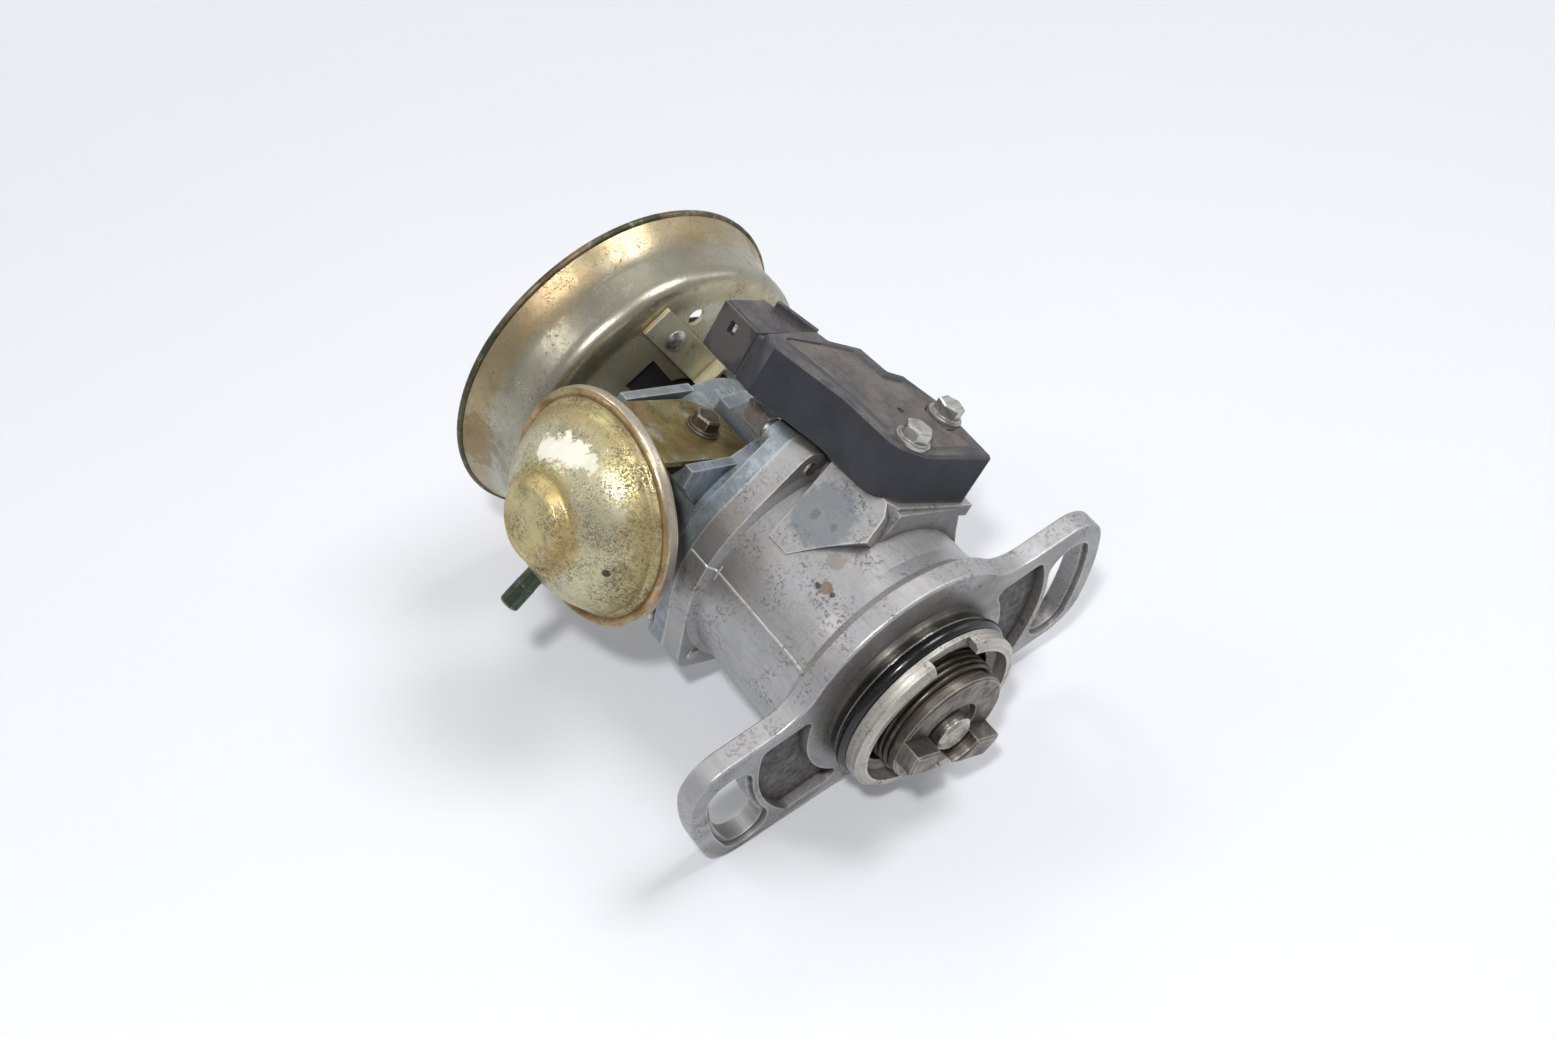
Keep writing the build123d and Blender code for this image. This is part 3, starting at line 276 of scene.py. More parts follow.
class EffectShelf:
    """Builds each shared effect once and hands it out."""

    def __init__(self) -> None:
        """Starts with no groups made."""
        self.made: Dict[Effect, bpy.types.NodeTree] = {}

    def open_group(self, effect: Effect, takes: Dict[str, Tuple[Socket, Any]],
                   gives: Sequence[str]) -> Tuple[Sheet, bpy.types.Node, bpy.types.Node]:
        """Starts a group and its two ends.

        Args:
            effect: the effect the group makes.
            takes: input name to its kind and first value.
            gives: names of its outputs, each a value.

        Returns:
            The group's sheet, its input node and its output node.
        """
        tree = bpy.data.node_groups.new(effect.value, "ShaderNodeTree")
        for name, (kind, first) in takes.items():
            made = tree.interface.new_socket(name, in_out="INPUT", socket_type=kind.value)
            made.default_value = first
        for name in gives:
            tree.interface.new_socket(name, in_out="OUTPUT", socket_type=Socket.VALUE.value)
        start, end = tree.nodes.new("NodeGroupInput"), tree.nodes.new("NodeGroupOutput")
        self.made[effect] = tree
        return Sheet(tree), start, end

    @staticmethod
    def point_mm(sheet: Sheet, seed: Any = 0.0) -> bpy.types.NodeSocket:
        """The surface point in millimetres, moved along by a seed.

        Args:
            sheet: the sheet to lay nodes on.
            seed: a number that picks another stretch of the same noise.

        Returns:
            The point's socket.
        """
        where = sheet.scaled(sheet.add("TexCoord").outputs["Object"], 1.0 / MM)
        moved = sheet.add("CombineXYZ", {0: seed, 1: seed, 2: seed}).outputs[0]
        return sheet.vector("ADD", where, sheet.scaled(moved, SEED_STEP))

    @classmethod
    def off_axis(cls, sheet: Sheet,
                 start: bpy.types.Node) -> Tuple[bpy.types.NodeSocket, bpy.types.NodeSocket]:
        """Where the surface point lies about a group's Centre and Axis.

        Args:
            sheet: the group's sheet.
            start: the group's input node.

        Returns:
            How far along the axis it is, and how far from it, both in millimetres.
        """
        rel = sheet.vector("SUBTRACT", cls.point_mm(sheet), start.outputs["Centre"])
        along = sheet.vector("DOT_PRODUCT", rel, start.outputs["Axis"], out=1)
        shaft = sheet.scaled(start.outputs["Axis"], along)
        return along, sheet.vector("LENGTH", sheet.vector("SUBTRACT", rel, shaft), out=1)

    def patches(self) -> None:
        """Soft-edged patches: 0 outside, 1 inside."""
        sheet, start, end = self.open_group(Effect.PATCHES, {
            "Size": (Socket.VALUE, 10.0), "Cover": (Socket.VALUE, 0.5), "Blur": (Socket.VALUE, 0.15),
            "Detail": (Socket.VALUE, 4.0), "Seed": (Socket.VALUE, 0.0)}, ["Mask"])
        spread = sheet.noise(self.point_mm(sheet, start.outputs["Seed"]),
                             sheet.math("DIVIDE", 1.0, start.outputs["Size"]),
                             start.outputs["Detail"], 0.62)
        middle = sheet.math("SUBTRACT", 0.78, sheet.times(start.outputs["Cover"], 0.56))
        low = sheet.math("SUBTRACT", middle, start.outputs["Blur"])
        high = sheet.math("ADD", middle, start.outputs["Blur"])
        sheet.put(end.inputs["Mask"], sheet.remap(spread, low, high))

    def specks(self) -> None:
        """Small ragged specks, as of corrosion or grime."""
        sheet, start, end = self.open_group(Effect.SPECKS, {
            "Size": (Socket.VALUE, 1.5), "Cover": (Socket.VALUE, 0.3),
            "Seed": (Socket.VALUE, 0.0)}, ["Mask"])
        spread = sheet.noise(self.point_mm(sheet, start.outputs["Seed"]),
                             sheet.math("DIVIDE", 1.0, start.outputs["Size"]), 5.0, 0.7)
        edge = sheet.math("SUBTRACT", 0.66, sheet.times(start.outputs["Cover"], 0.22))
        sheet.put(end.inputs["Mask"], sheet.remap(spread, edge, sheet.math("ADD", edge, 0.04)))

    def edges(self) -> None:
        """Outer edges where handling rubs a finish off."""
        sheet, start, end = self.open_group(Effect.EDGES, {
            "Width": (Socket.VALUE, 0.6), "Amount": (Socket.VALUE, 0.6),
            "Seed": (Socket.VALUE, 0.0)}, ["Mask"])
        radius = sheet.times(start.outputs["Width"], MM)
        round_off = sheet.add("Bevel", {"Radius": radius}, samples=4).outputs[0]
        flat = sheet.add("NewGeometry").outputs["Normal"]
        bend = sheet.math("SUBTRACT", 1.0, sheet.vector("DOT_PRODUCT", round_off, flat, out=1))
        shade = sheet.add("AmbientOcclusion", {"Distance": EDGE_REACH}, samples=4,
                          only_local=True).outputs["AO"]
        outer = sheet.remap(shade, 0.72, 0.92)
        rub = sheet.noise(self.point_mm(sheet, start.outputs["Seed"]), 0.55, 5.0, 0.7)
        sharp = sheet.times(sheet.remap(bend, 0.01, 0.12), outer)
        worn = sheet.remap(sheet.times(sharp, sheet.math("ADD", rub, start.outputs["Amount"])),
                           0.55, 0.95)
        sheet.put(end.inputs["Mask"], worn)

    def corners(self) -> None:
        """Mask of inner corners, where ambient occlusion within the reach finds them."""
        sheet, start, end = self.open_group(Effect.CORNERS, {
            "Reach": (Socket.VALUE, 4.0), "Amount": (Socket.VALUE, 0.7),
            "Seed": (Socket.VALUE, 0.0)}, ["Mask"])
        distance = sheet.times(start.outputs["Reach"], MM)
        shade = sheet.add("AmbientOcclusion", {"Distance": distance}, samples=6).outputs["AO"]
        uneven = sheet.noise(self.point_mm(sheet, start.outputs["Seed"]), 0.3, 5.0, 0.65)
        deep = sheet.times(sheet.math("SUBTRACT", 1.0, shade), sheet.math("ADD", uneven, 0.45))
        full = sheet.remap(deep, 0.12, 0.62)
        sheet.put(end.inputs["Mask"], sheet.times(full, start.outputs["Amount"]))

    def dust(self) -> None:
        """Dust lying on what faces up as the part rests on a table."""
        sheet, start, end = self.open_group(Effect.DUST, {
            "Up": (Socket.VECTOR, (0.0, 0.0, 1.0)), "Amount": (Socket.VALUE, 0.6),
            "Seed": (Socket.VALUE, 0.0)}, ["Mask"])
        flat = sheet.add("NewGeometry").outputs["Normal"]
        level = sheet.remap(sheet.vector("DOT_PRODUCT", flat, start.outputs["Up"], out=1), 0.35, 0.95)
        where = self.point_mm(sheet, start.outputs["Seed"])
        broad = sheet.noise(where, 0.16, 6.0, 0.7)
        fine = sheet.noise(where, 2.2)
        lying = sheet.times(sheet.remap(broad, 0.3, 0.72), sheet.remap(fine, 0.15, 0.7))
        sheet.put(end.inputs["Mask"], sheet.times(sheet.times(level, lying), start.outputs["Amount"]))

    def grain(self) -> None:
        """Height of a sand-like cast or moulded skin."""
        sheet, start, end = self.open_group(Effect.GRAIN, {
            "Size": (Socket.VALUE, 0.5), "Pits": (Socket.VALUE, 0.4),
            "Seed": (Socket.VALUE, 0.0)}, ["Height"])
        where = self.point_mm(sheet, start.outputs["Seed"])
        skin = sheet.noise(where, sheet.math("DIVIDE", 1.0, start.outputs["Size"]), 3.0, 0.6)
        wave = sheet.noise(where, 0.14)
        holes = sheet.add("TexVoronoi", {"Vector": where, "Scale": 0.55}).outputs["Distance"]
        hollow = sheet.times(sheet.remap(holes, 0.02, 0.16, 1.0, 0.0), start.outputs["Pits"])
        high = sheet.math("ADD", sheet.times(skin, 0.5), sheet.times(wave, 1.2))
        sheet.put(end.inputs["Height"], sheet.math("SUBTRACT", high, hollow))

    def turning(self) -> None:
        """Rings that a lathe leaves about an axis, as a height and a tone."""
        sheet, start, end = self.open_group(Effect.TURNING, {
            "Centre": (Socket.VECTOR, (0.0, 0.0, 0.0)), "Axis": (Socket.VECTOR, (1.0, 0.0, 0.0)),
            "Pitch": (Socket.VALUE, 0.25)}, ["Height", "Tone"])
        run = sheet.math("ADD", *self.off_axis(sheet, start))
        tight = sheet.math("DIVIDE", run, start.outputs["Pitch"])
        sheet.put(end.inputs["Height"], sheet.add(
            "TexNoise", {"W": tight, "Scale": 1.0, "Detail": 2.0}, noise_dimensions="1D").outputs[0])
        sheet.put(end.inputs["Tone"], sheet.add(
            "TexNoise", {"W": sheet.times(tight, 0.22), "Scale": 1.0, "Detail": 3.0},
            noise_dimensions="1D").outputs[0])

    def spot(self) -> None:
        """One ragged blot about a point."""
        sheet, start, end = self.open_group(Effect.SPOT, {
            "Centre": (Socket.VECTOR, (0.0, 0.0, 0.0)), "Radius": (Socket.VALUE, 5.0),
            "Ragged": (Socket.VALUE, 0.5), "Seed": (Socket.VALUE, 0.0)}, ["Mask"])
        away = sheet.vector("DISTANCE", self.point_mm(sheet), start.outputs["Centre"], out=1)
        torn = sheet.noise(self.point_mm(sheet, start.outputs["Seed"]), 0.42, 6.0, 0.72)
        edge = sheet.times(sheet.math("SUBTRACT", torn, 0.5),
                           sheet.times(start.outputs["Ragged"], 3.2))
        share = sheet.math("ADD", sheet.math("DIVIDE", away, start.outputs["Radius"]), edge)
        sheet.put(end.inputs["Mask"], sheet.remap(share, 0.75, 1.05, 1.0, 0.0))

    def band(self) -> None:
        """A ring-shaped zone about an axis, with a ragged border."""
        sheet, start, end = self.open_group(Effect.BAND, {
            "Centre": (Socket.VECTOR, (0.0, 0.0, 0.0)), "Axis": (Socket.VECTOR, (1.0, 0.0, 0.0)),
            "Inner": (Socket.VALUE, 0.0), "Outer": (Socket.VALUE, 10.0), "Soft": (Socket.VALUE, 1.0),
            "Ragged": (Socket.VALUE, 1.0), "Seed": (Socket.VALUE, 0.0)}, ["Mask"])
        out = self.off_axis(sheet, start)[1]
        torn = sheet.noise(self.point_mm(sheet, start.outputs["Seed"]), 0.4, 6.0, 0.7)
        shift = sheet.times(sheet.math("SUBTRACT", torn, 0.5),
                            sheet.times(start.outputs["Ragged"], 3.0))
        reach, soft = sheet.math("ADD", out, shift), start.outputs["Soft"]
        inside = sheet.remap(reach, sheet.math("SUBTRACT", start.outputs["Inner"], soft),
                             sheet.math("ADD", start.outputs["Inner"], soft))
        outside = sheet.remap(reach, sheet.math("SUBTRACT", start.outputs["Outer"], soft),
                              sheet.math("ADD", start.outputs["Outer"], soft), 1.0, 0.0)
        sheet.put(end.inputs["Mask"], sheet.times(inside, outside))

    def streaks(self) -> None:
        """Long marks that run one way, such as scratches or dried runs."""
        sheet, start, end = self.open_group(Effect.STREAKS, {
            "Stretch": (Socket.VECTOR, (0.1, 1.0, 1.0)), "Cover": (Socket.VALUE, 0.4),
            "Seed": (Socket.VALUE, 0.0)}, ["Mask"])
        drawn = sheet.vector("MULTIPLY", self.point_mm(sheet, start.outputs["Seed"]),
                             start.outputs["Stretch"])
        spread = sheet.noise(drawn, 1.0, 4.0, 0.6)
        middle = sheet.math("SUBTRACT", 0.78, sheet.times(start.outputs["Cover"], 0.56))
        sheet.put(end.inputs["Mask"], sheet.remap(spread, sheet.math("SUBTRACT", middle, 0.07),
                                                  sheet.math("ADD", middle, 0.07)))

    def build(self) -> None:
        """Makes every effect."""
        for make in (self.patches, self.specks, self.edges, self.corners, self.dust, self.grain,
                     self.turning, self.spot, self.band, self.streaks):
            make()

    def use(self, sheet: Sheet, effect: Effect, out: int = 0, **inputs: Any) -> bpy.types.NodeSocket:
        """Places an effect in a material.

        Args:
            sheet: the material's sheet.
            effect: the effect to place.
            out: which of its outputs to give back.
            **inputs: the group's values by name.

        Returns:
            The output's socket.
        """
        node = sheet.add("Group")
        node.node_tree = self.made[effect]
        for name, value in inputs.items():
            sheet.put(node.inputs[name], value)
        return node.outputs[out]


SHELF = EffectShelf()
TABLE_UP: Point = (-0.165, -0.461, 0.872)
CAN_CENTRE: Point = (-70.7, -46.6, -1.8)
CAN_OUT: Point = (0.0, -math.cos(math.radians(10.0)), -math.sin(math.radians(10.0)))


# --- finishes ------------------------------------------------------------------------------------
@dataclass(frozen=True)
class Blot:
    """A stain, a bare spot or a painted highlight at one place: centre and radius in millimetres, colour
    and strength.
    """

    centre: Point
    radius: float
    colour: Colour
    strength: float = 0.9
    ragged: float = 0.5
    roughness: float = 0.75
    metallic: float = 0.2


@dataclass(frozen=True)
class Band:
    """A ring-shaped zone about an axis: radii in millimetres, colour, strength and roughness."""

    inner: float
    outer: float
    colour: Colour
    strength: float = 0.6
    soft: float = 1.0
    ragged: float = 1.0
    roughness: float = 0.4
    centre: Point = (0.0, 0.0, 0.0)
    axis: Point = (1.0, 0.0, 0.0)


@dataclass
class Laid:
    """What a finish lays: colour, roughness, height and its depth, dull soiled share and metallic."""

    colour: Any
    rough: Any
    height: Any = None
    depth: float = 0.0
    soil: Any = None
    metal: Any = None


@dataclass(frozen=True)
class Finish:
    """What every finish shares: a name, a colour, a roughness, bands and blots."""

    name: str
    colour: Colour
    roughness: float = 0.5
    metallic: float = 0.0
    seed: float = 0.0
    bands: Tuple[Band, ...] = ()
    blots: Tuple[Blot, ...] = ()

    def lay(self, sheet: Sheet) -> Laid:
        """Lays the finish's pattern.

        Args:
            sheet: the material's sheet; not used here.

        Returns:
            What the finish lays.
        """
        return Laid(self.colour, self.roughness)

    def patches(self, sheet: Sheet, size: float, cover: float, blur: float, detail: float,
                shift: float = 0.0) -> bpy.types.NodeSocket:
        """Soft patches of the finish.

        Args:
            sheet: the material's sheet.
            size: how wide a patch is, in millimetres.
            cover: share of the surface that they cover.
            blur: softness of their border.
            detail: how ragged the border is.
            shift: picks another stretch of the finish's noise.

        Returns:
            The mask's socket.
        """
        return SHELF.use(sheet, Effect.PATCHES, Size=size, Cover=cover, Blur=blur, Detail=detail,
                         Seed=self.seed + shift)

    def specks(self, sheet: Sheet, size: float, cover: float, shift: float) -> bpy.types.NodeSocket:
        """Small specks of the finish, as a mask; size, cover and shift are as for patches."""
        return SHELF.use(sheet, Effect.SPECKS, Size=size, Cover=cover, Seed=self.seed + shift)

    def worn(self, sheet: Sheet, width: float, amount: float) -> bpy.types.NodeSocket:
        """Edges that handling has rubbed, as a mask: width in millimetres and amount of wear."""
        return SHELF.use(sheet, Effect.EDGES, Width=width, Amount=amount, Seed=self.seed)

    def occluded_corners(self, sheet: Sheet, reach: float, amount: float) -> bpy.types.NodeSocket:
        """Mask of inner corners, found by ambient occlusion: reach in millimetres and amount of the mask.
        """
        return SHELF.use(sheet, Effect.CORNERS, Reach=reach, Amount=amount, Seed=self.seed)

    def banded(self, sheet: Sheet, colour: Any, rough: Any) -> Tuple[Any, Any]:
        """Lays the finish's bands over a colour and a roughness.

        Args:
            sheet: the material's sheet.
            colour: the colour so far.
            rough: the roughness so far.

        Returns:
            The new colour and roughness.
        """
        for index, zone in enumerate(self.bands):
            mask = SHELF.use(sheet, Effect.BAND, Centre=zone.centre, Axis=zone.axis, Inner=zone.inner,
                             Outer=zone.outer, Soft=zone.soft, Ragged=zone.ragged,
                             Seed=self.seed + 40 + index)
            share = sheet.times(mask, zone.strength)
            colour = sheet.mix(share, colour, zone.colour)
            rough = sheet.blend(share, rough, zone.roughness)
        return colour, rough

    def material(self) -> bpy.types.Material:
        """The finish as a material, made once.

        Returns:
            The material.
        """
        made = bpy.data.materials.get(self.name)
        if made is not None:
            return made
        made = bpy.data.materials.new(self.name)
        made.use_nodes = True
        made.node_tree.nodes.clear()
        sheet = Sheet(made.node_tree)
        laid = self.lay(sheet)
        colour, rough = laid.colour, laid.rough
        metal = self.metallic if laid.metal is None else laid.metal
        if laid.soil is not None and self.metallic > 0.0:
            metal = sheet.times(sheet.math("SUBTRACT", 1.0, laid.soil), metal)
        for index, blot in enumerate(self.blots):
            mask = SHELF.use(sheet, Effect.SPOT, Centre=blot.centre, Radius=blot.radius,
                             Ragged=blot.ragged, Seed=self.seed + index)
            share = sheet.times(mask, blot.strength)
            colour = sheet.mix(share, colour, blot.colour)
            rough = sheet.blend(share, rough, blot.roughness)
            metal = sheet.blend(share, metal, blot.metallic)
        skin = sheet.add("BsdfPrincipled", {"Base Color": colour, "Roughness": rough, "Metallic": metal})
        soft = sheet.add("Bevel", {"Radius": EASED_EDGE}, samples=4).outputs[0]
        if laid.height is None:
            sheet.put(skin.inputs["Normal"], soft)
        else:
            bump = sheet.add("Bump", {"Height": laid.height, "Distance": laid.depth, "Strength": 1.0,
                                      "Normal": soft})
            sheet.put(skin.inputs["Normal"], bump.outputs[0])
        out = sheet.add("OutputMaterial")
        sheet.put(out.inputs["Surface"], skin.outputs[0])
        return made

    def dress(self, piece: bpy.types.Object) -> None:
        """Gives the finish to every slot of an object.

        Args:
            piece: the object to dress.
        """
        if not piece.data.materials:
            piece.data.materials.append(self.material())
        for slot in piece.material_slots:
            slot.material = self.material()


@dataclass(frozen=True)
class CastAlloy(Finish):
    """Die-cast alloy with a sandy skin, runs, grit, darkened inner corners and turned lands."""

    shade: Colour = paint(120, 122, 126)
    grime: Colour = paint(54, 49, 42)
    corner_amount: float = 0.8
    grit_cover: float = 0.55
    # Pale colour of worn bare edges; it also paints the highlights that run along edges and fillets.
    edge: Colour = paint(222, 220, 214)
    run_colour: Colour = paint(150, 142, 128)
    run_stretch: Point = (0.1, 0.7, 0.7)
    run_amount: float = 0.25
    turned_from: float | None = None
    turned_colour: Colour = paint(142, 137, 128)
    front_colour: Colour = paint(204, 200, 192)
    face_colour: Colour = paint(128, 126, 121)
    pocket_colour: Colour = paint(80, 78, 76)
    wet_colour: Colour = paint(24, 22, 20)
    front_from: Tuple[float, float] = (7.3, 7.7)
    wet_zone: Zone = (1.2, 2.2, 7.0, 7.5)
    face_zone: Zone = (-0.5, -0.3, 0.3, 0.5)
    pocket_zone: Zone = (-3.4, -3.1, -1.9, -1.3)
    ring_pitch: float = 0.22
    grain_depth: float = 0.09 * MM
    metallic: float = 0.75

    def turned(self, sheet: Sheet, skin: Laid, broad: Any, mottle: Any) -> Laid:
        """Lays the turned lands, the flange's face and its sunk pockets over the cast skin.

        Args:
            sheet: the material's sheet.
            skin: the cast skin.
            broad: the mask of its broad patches.
            mottle: the mask of its small ones.

        Returns:
            What is laid now.
        """
        x = sheet.add("SeparateXYZ", {0: sheet.add("TexCoord").outputs["Object"]}).outputs[0]
        out_x = sheet.add("SeparateXYZ", {0: sheet.add("NewGeometry").outputs["Normal"]}).outputs[0]
        land = sheet.math("GREATER_THAN", x, self.turned_from * MM)
        rings = SHELF.use(sheet, Effect.TURNING, Pitch=self.ring_pitch)
        tone = SHELF.use(sheet, Effect.TURNING, out=1, Pitch=self.ring_pitch)
        oily = self.patches(sheet, 4.0, cover=0.4, blur=0.2, detail=5.0, shift=9)
        fore = sheet.math("MAXIMUM", sheet.math("GREATER_THAN", out_x, 0.5),
                          sheet.remap(x, self.front_from[0] * MM, self.front_from[1] * MM))
        bright = sheet.mix(fore, self.turned_colour, self.front_colour)
        bright = sheet.mix(sheet.times(sheet.remap(tone, 0.35, 0.65), 0.22), bright, self.grime)
        bright = sheet.mix(sheet.times(oily, sheet.blend(fore, 0.45, 0.12)), bright, self.grime)
        bright = sheet.mix(sheet.times(sheet.between(x, self.wet_zone), 0.85), bright, self.wet_colour)
        colour = sheet.mix(land, skin.colour, bright)
        level = sheet.math("GREATER_THAN", out_x, 0.9)
        sunk = sheet.times(level, sheet.between(x, self.pocket_zone))
        face = sheet.times(level, sheet.between(x, self.face_zone))
        colour = sheet.mix(sheet.times(face, sheet.remap(broad, 0.0, 1.0, 0.2, 0.6)),
                           colour, self.face_colour)
        colour = sheet.mix(sheet.times(sunk, sheet.remap(mottle, 0.0, 1.0, 0.6, 0.95)),
                           colour, self.pocket_colour)
        rough = sheet.blend(land, skin.rough, sheet.blend(fore, 0.26, 0.4))
        return Laid(colour, sheet.math("ADD", rough, sheet.times(sunk, 0.2)),
                    sheet.blend(land, skin.height, rings),
                    metal=sheet.blend(land, self.metallic, sheet.blend(fore, 1.0, 0.7)))

    def lay(self, sheet: Sheet) -> Laid:
        """Lays the cast skin, its runs, grit and darkened corners, and its turned lands.

        Args:
            sheet: the material's sheet.

        Returns:
            What the finish lays.
        """
        broad = self.patches(sheet, 18.0, cover=0.45, blur=0.25, detail=3.0)
        mottle = self.patches(sheet, 1.6, cover=0.5, blur=0.3, detail=3.0, shift=1)
        sand = self.patches(sheet, 0.5, cover=0.5, blur=0.25, detail=2.0, shift=7)
        colour = sheet.mix(sheet.times(broad, 0.5), self.colour, self.shade)
        colour = sheet.mix(sheet.times(mottle, 0.16), colour, self.shade)
        colour = sheet.mix(sheet.times(sand, 0.2), colour, self.shade)
        runs = SHELF.use(sheet, Effect.STREAKS, Stretch=self.run_stretch, Cover=0.4, Seed=self.seed + 3)
        colour = sheet.mix(sheet.times(runs, self.run_amount), colour, self.run_colour)
        rough = sheet.remap(broad, 0.0, 1.0, self.roughness, self.roughness + 0.12)
        colour, rough = self.banded(sheet, colour, rough)
        laid = Laid(colour, rough, SHELF.use(sheet, Effect.GRAIN, Size=0.5, Pits=0.4, Seed=self.seed))
        if self.turned_from is not None:
            laid = self.turned(sheet, laid, broad, mottle)
        # Edges and fillets turn pale: partly rubbed bare metal, partly a painted highlight along them.
        worn = self.worn(sheet, width=0.9, amount=0.68)
        colour = sheet.mix(sheet.times(worn, 0.8), laid.colour, self.edge)
        grit = self.specks(sheet, 0.9, cover=self.grit_cover, shift=2)
        crumbs = self.specks(sheet, 2.4, cover=self.grit_cover * 0.5, shift=4)
        where = self.patches(sheet, 10.0, cover=0.42, blur=0.12, detail=4.0, shift=5)
        dots = sheet.times(sheet.math("MAXIMUM", grit, crumbs), sheet.times(where, 0.7))
        colour = sheet.mix(dots, colour, self.grime)
        occluded_corners = self.occluded_corners(sheet, reach=4.0, amount=self.corner_amount)
        # Inner corners, found by ambient occlusion, are darkened towards the grime colour.
        colour = sheet.mix(occluded_corners, colour, self.grime)
        rough = sheet.math("ADD", laid.rough, sheet.times(occluded_corners, 0.2))
        return Laid(colour, rough, laid.height, self.grain_depth, sheet.math("MAXIMUM", occluded_corners, dots),
                    laid.metal)


@dataclass(frozen=True)
class YellowZinc(Finish):
    """Yellow-passivated zinc on pressed steel, with rainbow tints, brown stain and dark specks."""

    tint: Colour = paint(150, 160, 120)
    blush: Colour = paint(190, 150, 120)
    stain: Colour = paint(104, 82, 48)
    stain_cover: float = 0.4
    bare: Colour = paint(214, 210, 196)
    speck: Colour = paint(46, 38, 26)
    speck_cover: float = 0.35
    grain_depth: float = 0.06 * MM
    metallic: float = 0.92

    def lay(self, sheet: Sheet) -> Laid:
        """Lays the tints, stains, bare places and specks of the plating.

        Args:
            sheet: the material's sheet.

        Returns:
            What the finish lays.
        """
        green = self.patches(sheet, 17.0, cover=0.45, blur=0.2, detail=3.0)
        pink = self.patches(sheet, 9.0, cover=0.35, blur=0.15, detail=4.0, shift=1)
        colour = sheet.mix(sheet.times(green, 0.6), self.colour, self.tint)
        colour = sheet.mix(sheet.times(pink, 0.45), colour, self.blush)
        pale = self.patches(sheet, 6.0, cover=0.3, blur=0.1, detail=6.0, shift=2)
        colour = sheet.mix(sheet.times(pale, 0.5), colour, self.bare)
        brown = self.patches(sheet, 8.0, cover=self.stain_cover, blur=0.12, detail=8.0, shift=3)
        colour = sheet.mix(sheet.times(brown, 0.6), colour, self.stain)
        worn = self.worn(sheet, width=0.5, amount=0.5)
        colour = sheet.mix(sheet.times(worn, 0.6), colour, self.bare)
        rough = sheet.remap(brown, 0.0, 1.0, self.roughness, self.roughness + 0.2)
        colour, rough = self.banded(sheet, colour, rough)
        fine = self.specks(sheet, 0.42, cover=self.speck_cover, shift=4)
        small = self.specks(sheet, 0.95, cover=self.speck_cover * 0.85, shift=5)
        big = self.specks(sheet, 2.0, cover=self.speck_cover * 0.25, shift=7)
        many = self.patches(sheet, 9.0, cover=0.55, blur=0.2, detail=6.0, shift=6)
        spotted = sheet.times(sheet.math("MAXIMUM", fine, small), many)
        spotted = sheet.math("MAXIMUM", spotted, sheet.times(big, 0.5))
        colour = sheet.mix(sheet.times(spotted, 0.75), colour, self.speck)
        occluded_corners = self.occluded_corners(sheet, reach=3.0, amount=0.75)
        # Inner corners, found by ambient occlusion, turn towards the stain colour.
        colour = sheet.mix(occluded_corners, colour, self.stain)
        soiled = sheet.math("MAXIMUM", spotted, occluded_corners)
        rough = sheet.math("ADD", rough, sheet.times(soiled, 0.25))
        skin = SHELF.use(sheet, Effect.GRAIN, Size=0.9, Pits=0.2, Seed=self.seed)
        height = sheet.math("SUBTRACT", sheet.times(skin, 0.35), sheet.times(spotted, 0.4))
        return Laid(colour, rough, height, self.grain_depth, sheet.times(soiled, 0.8))


@dataclass(frozen=True)
class Moulded(Finish):
    """Dark moulded plastic with a fine grain, rubbed edges and settled dust."""

    dust: Colour = paint(128, 120, 112)
    dust_amount: float = 0.7
    rubbed: Colour = paint(96, 96, 98)
    grain_depth: float = 0.04 * MM

    def lay(self, sheet: Sheet) -> Laid:
        """Lays the moulded skin and its dust.

        Args:
            sheet: the material's sheet.

        Returns:
            What the finish lays.
        """
        cloudy = self.patches(sheet, 9.0, cover=0.5, blur=0.25, detail=5.0)
        lighter = tuple(min(1.0, c * 1.7 + 0.006) for c in self.colour[:3]) + (1.0,)
        colour = sheet.mix(sheet.times(cloudy, 0.7), self.colour, lighter)
        worn = self.worn(sheet, width=0.5, amount=0.45)
        colour = sheet.mix(sheet.times(worn, 0.5), colour, self.rubbed)
        lying = SHELF.use(sheet, Effect.DUST, Up=TABLE_UP, Amount=self.dust_amount, Seed=self.seed)
        held = self.occluded_corners(sheet, reach=2.5, amount=self.dust_amount * 0.7)
        powder = sheet.math("MAXIMUM", lying, held)
        colour = sheet.mix(powder, colour, self.dust)
        rough = sheet.remap(sheet.math("MAXIMUM", powder, cloudy), 0.0, 1.0, self.roughness,
                            self.roughness + 0.22)
        return Laid(colour, rough, SHELF.use(sheet, Effect.GRAIN, Size=0.35, Pits=0.1, Seed=self.seed),
                    self.grain_depth)


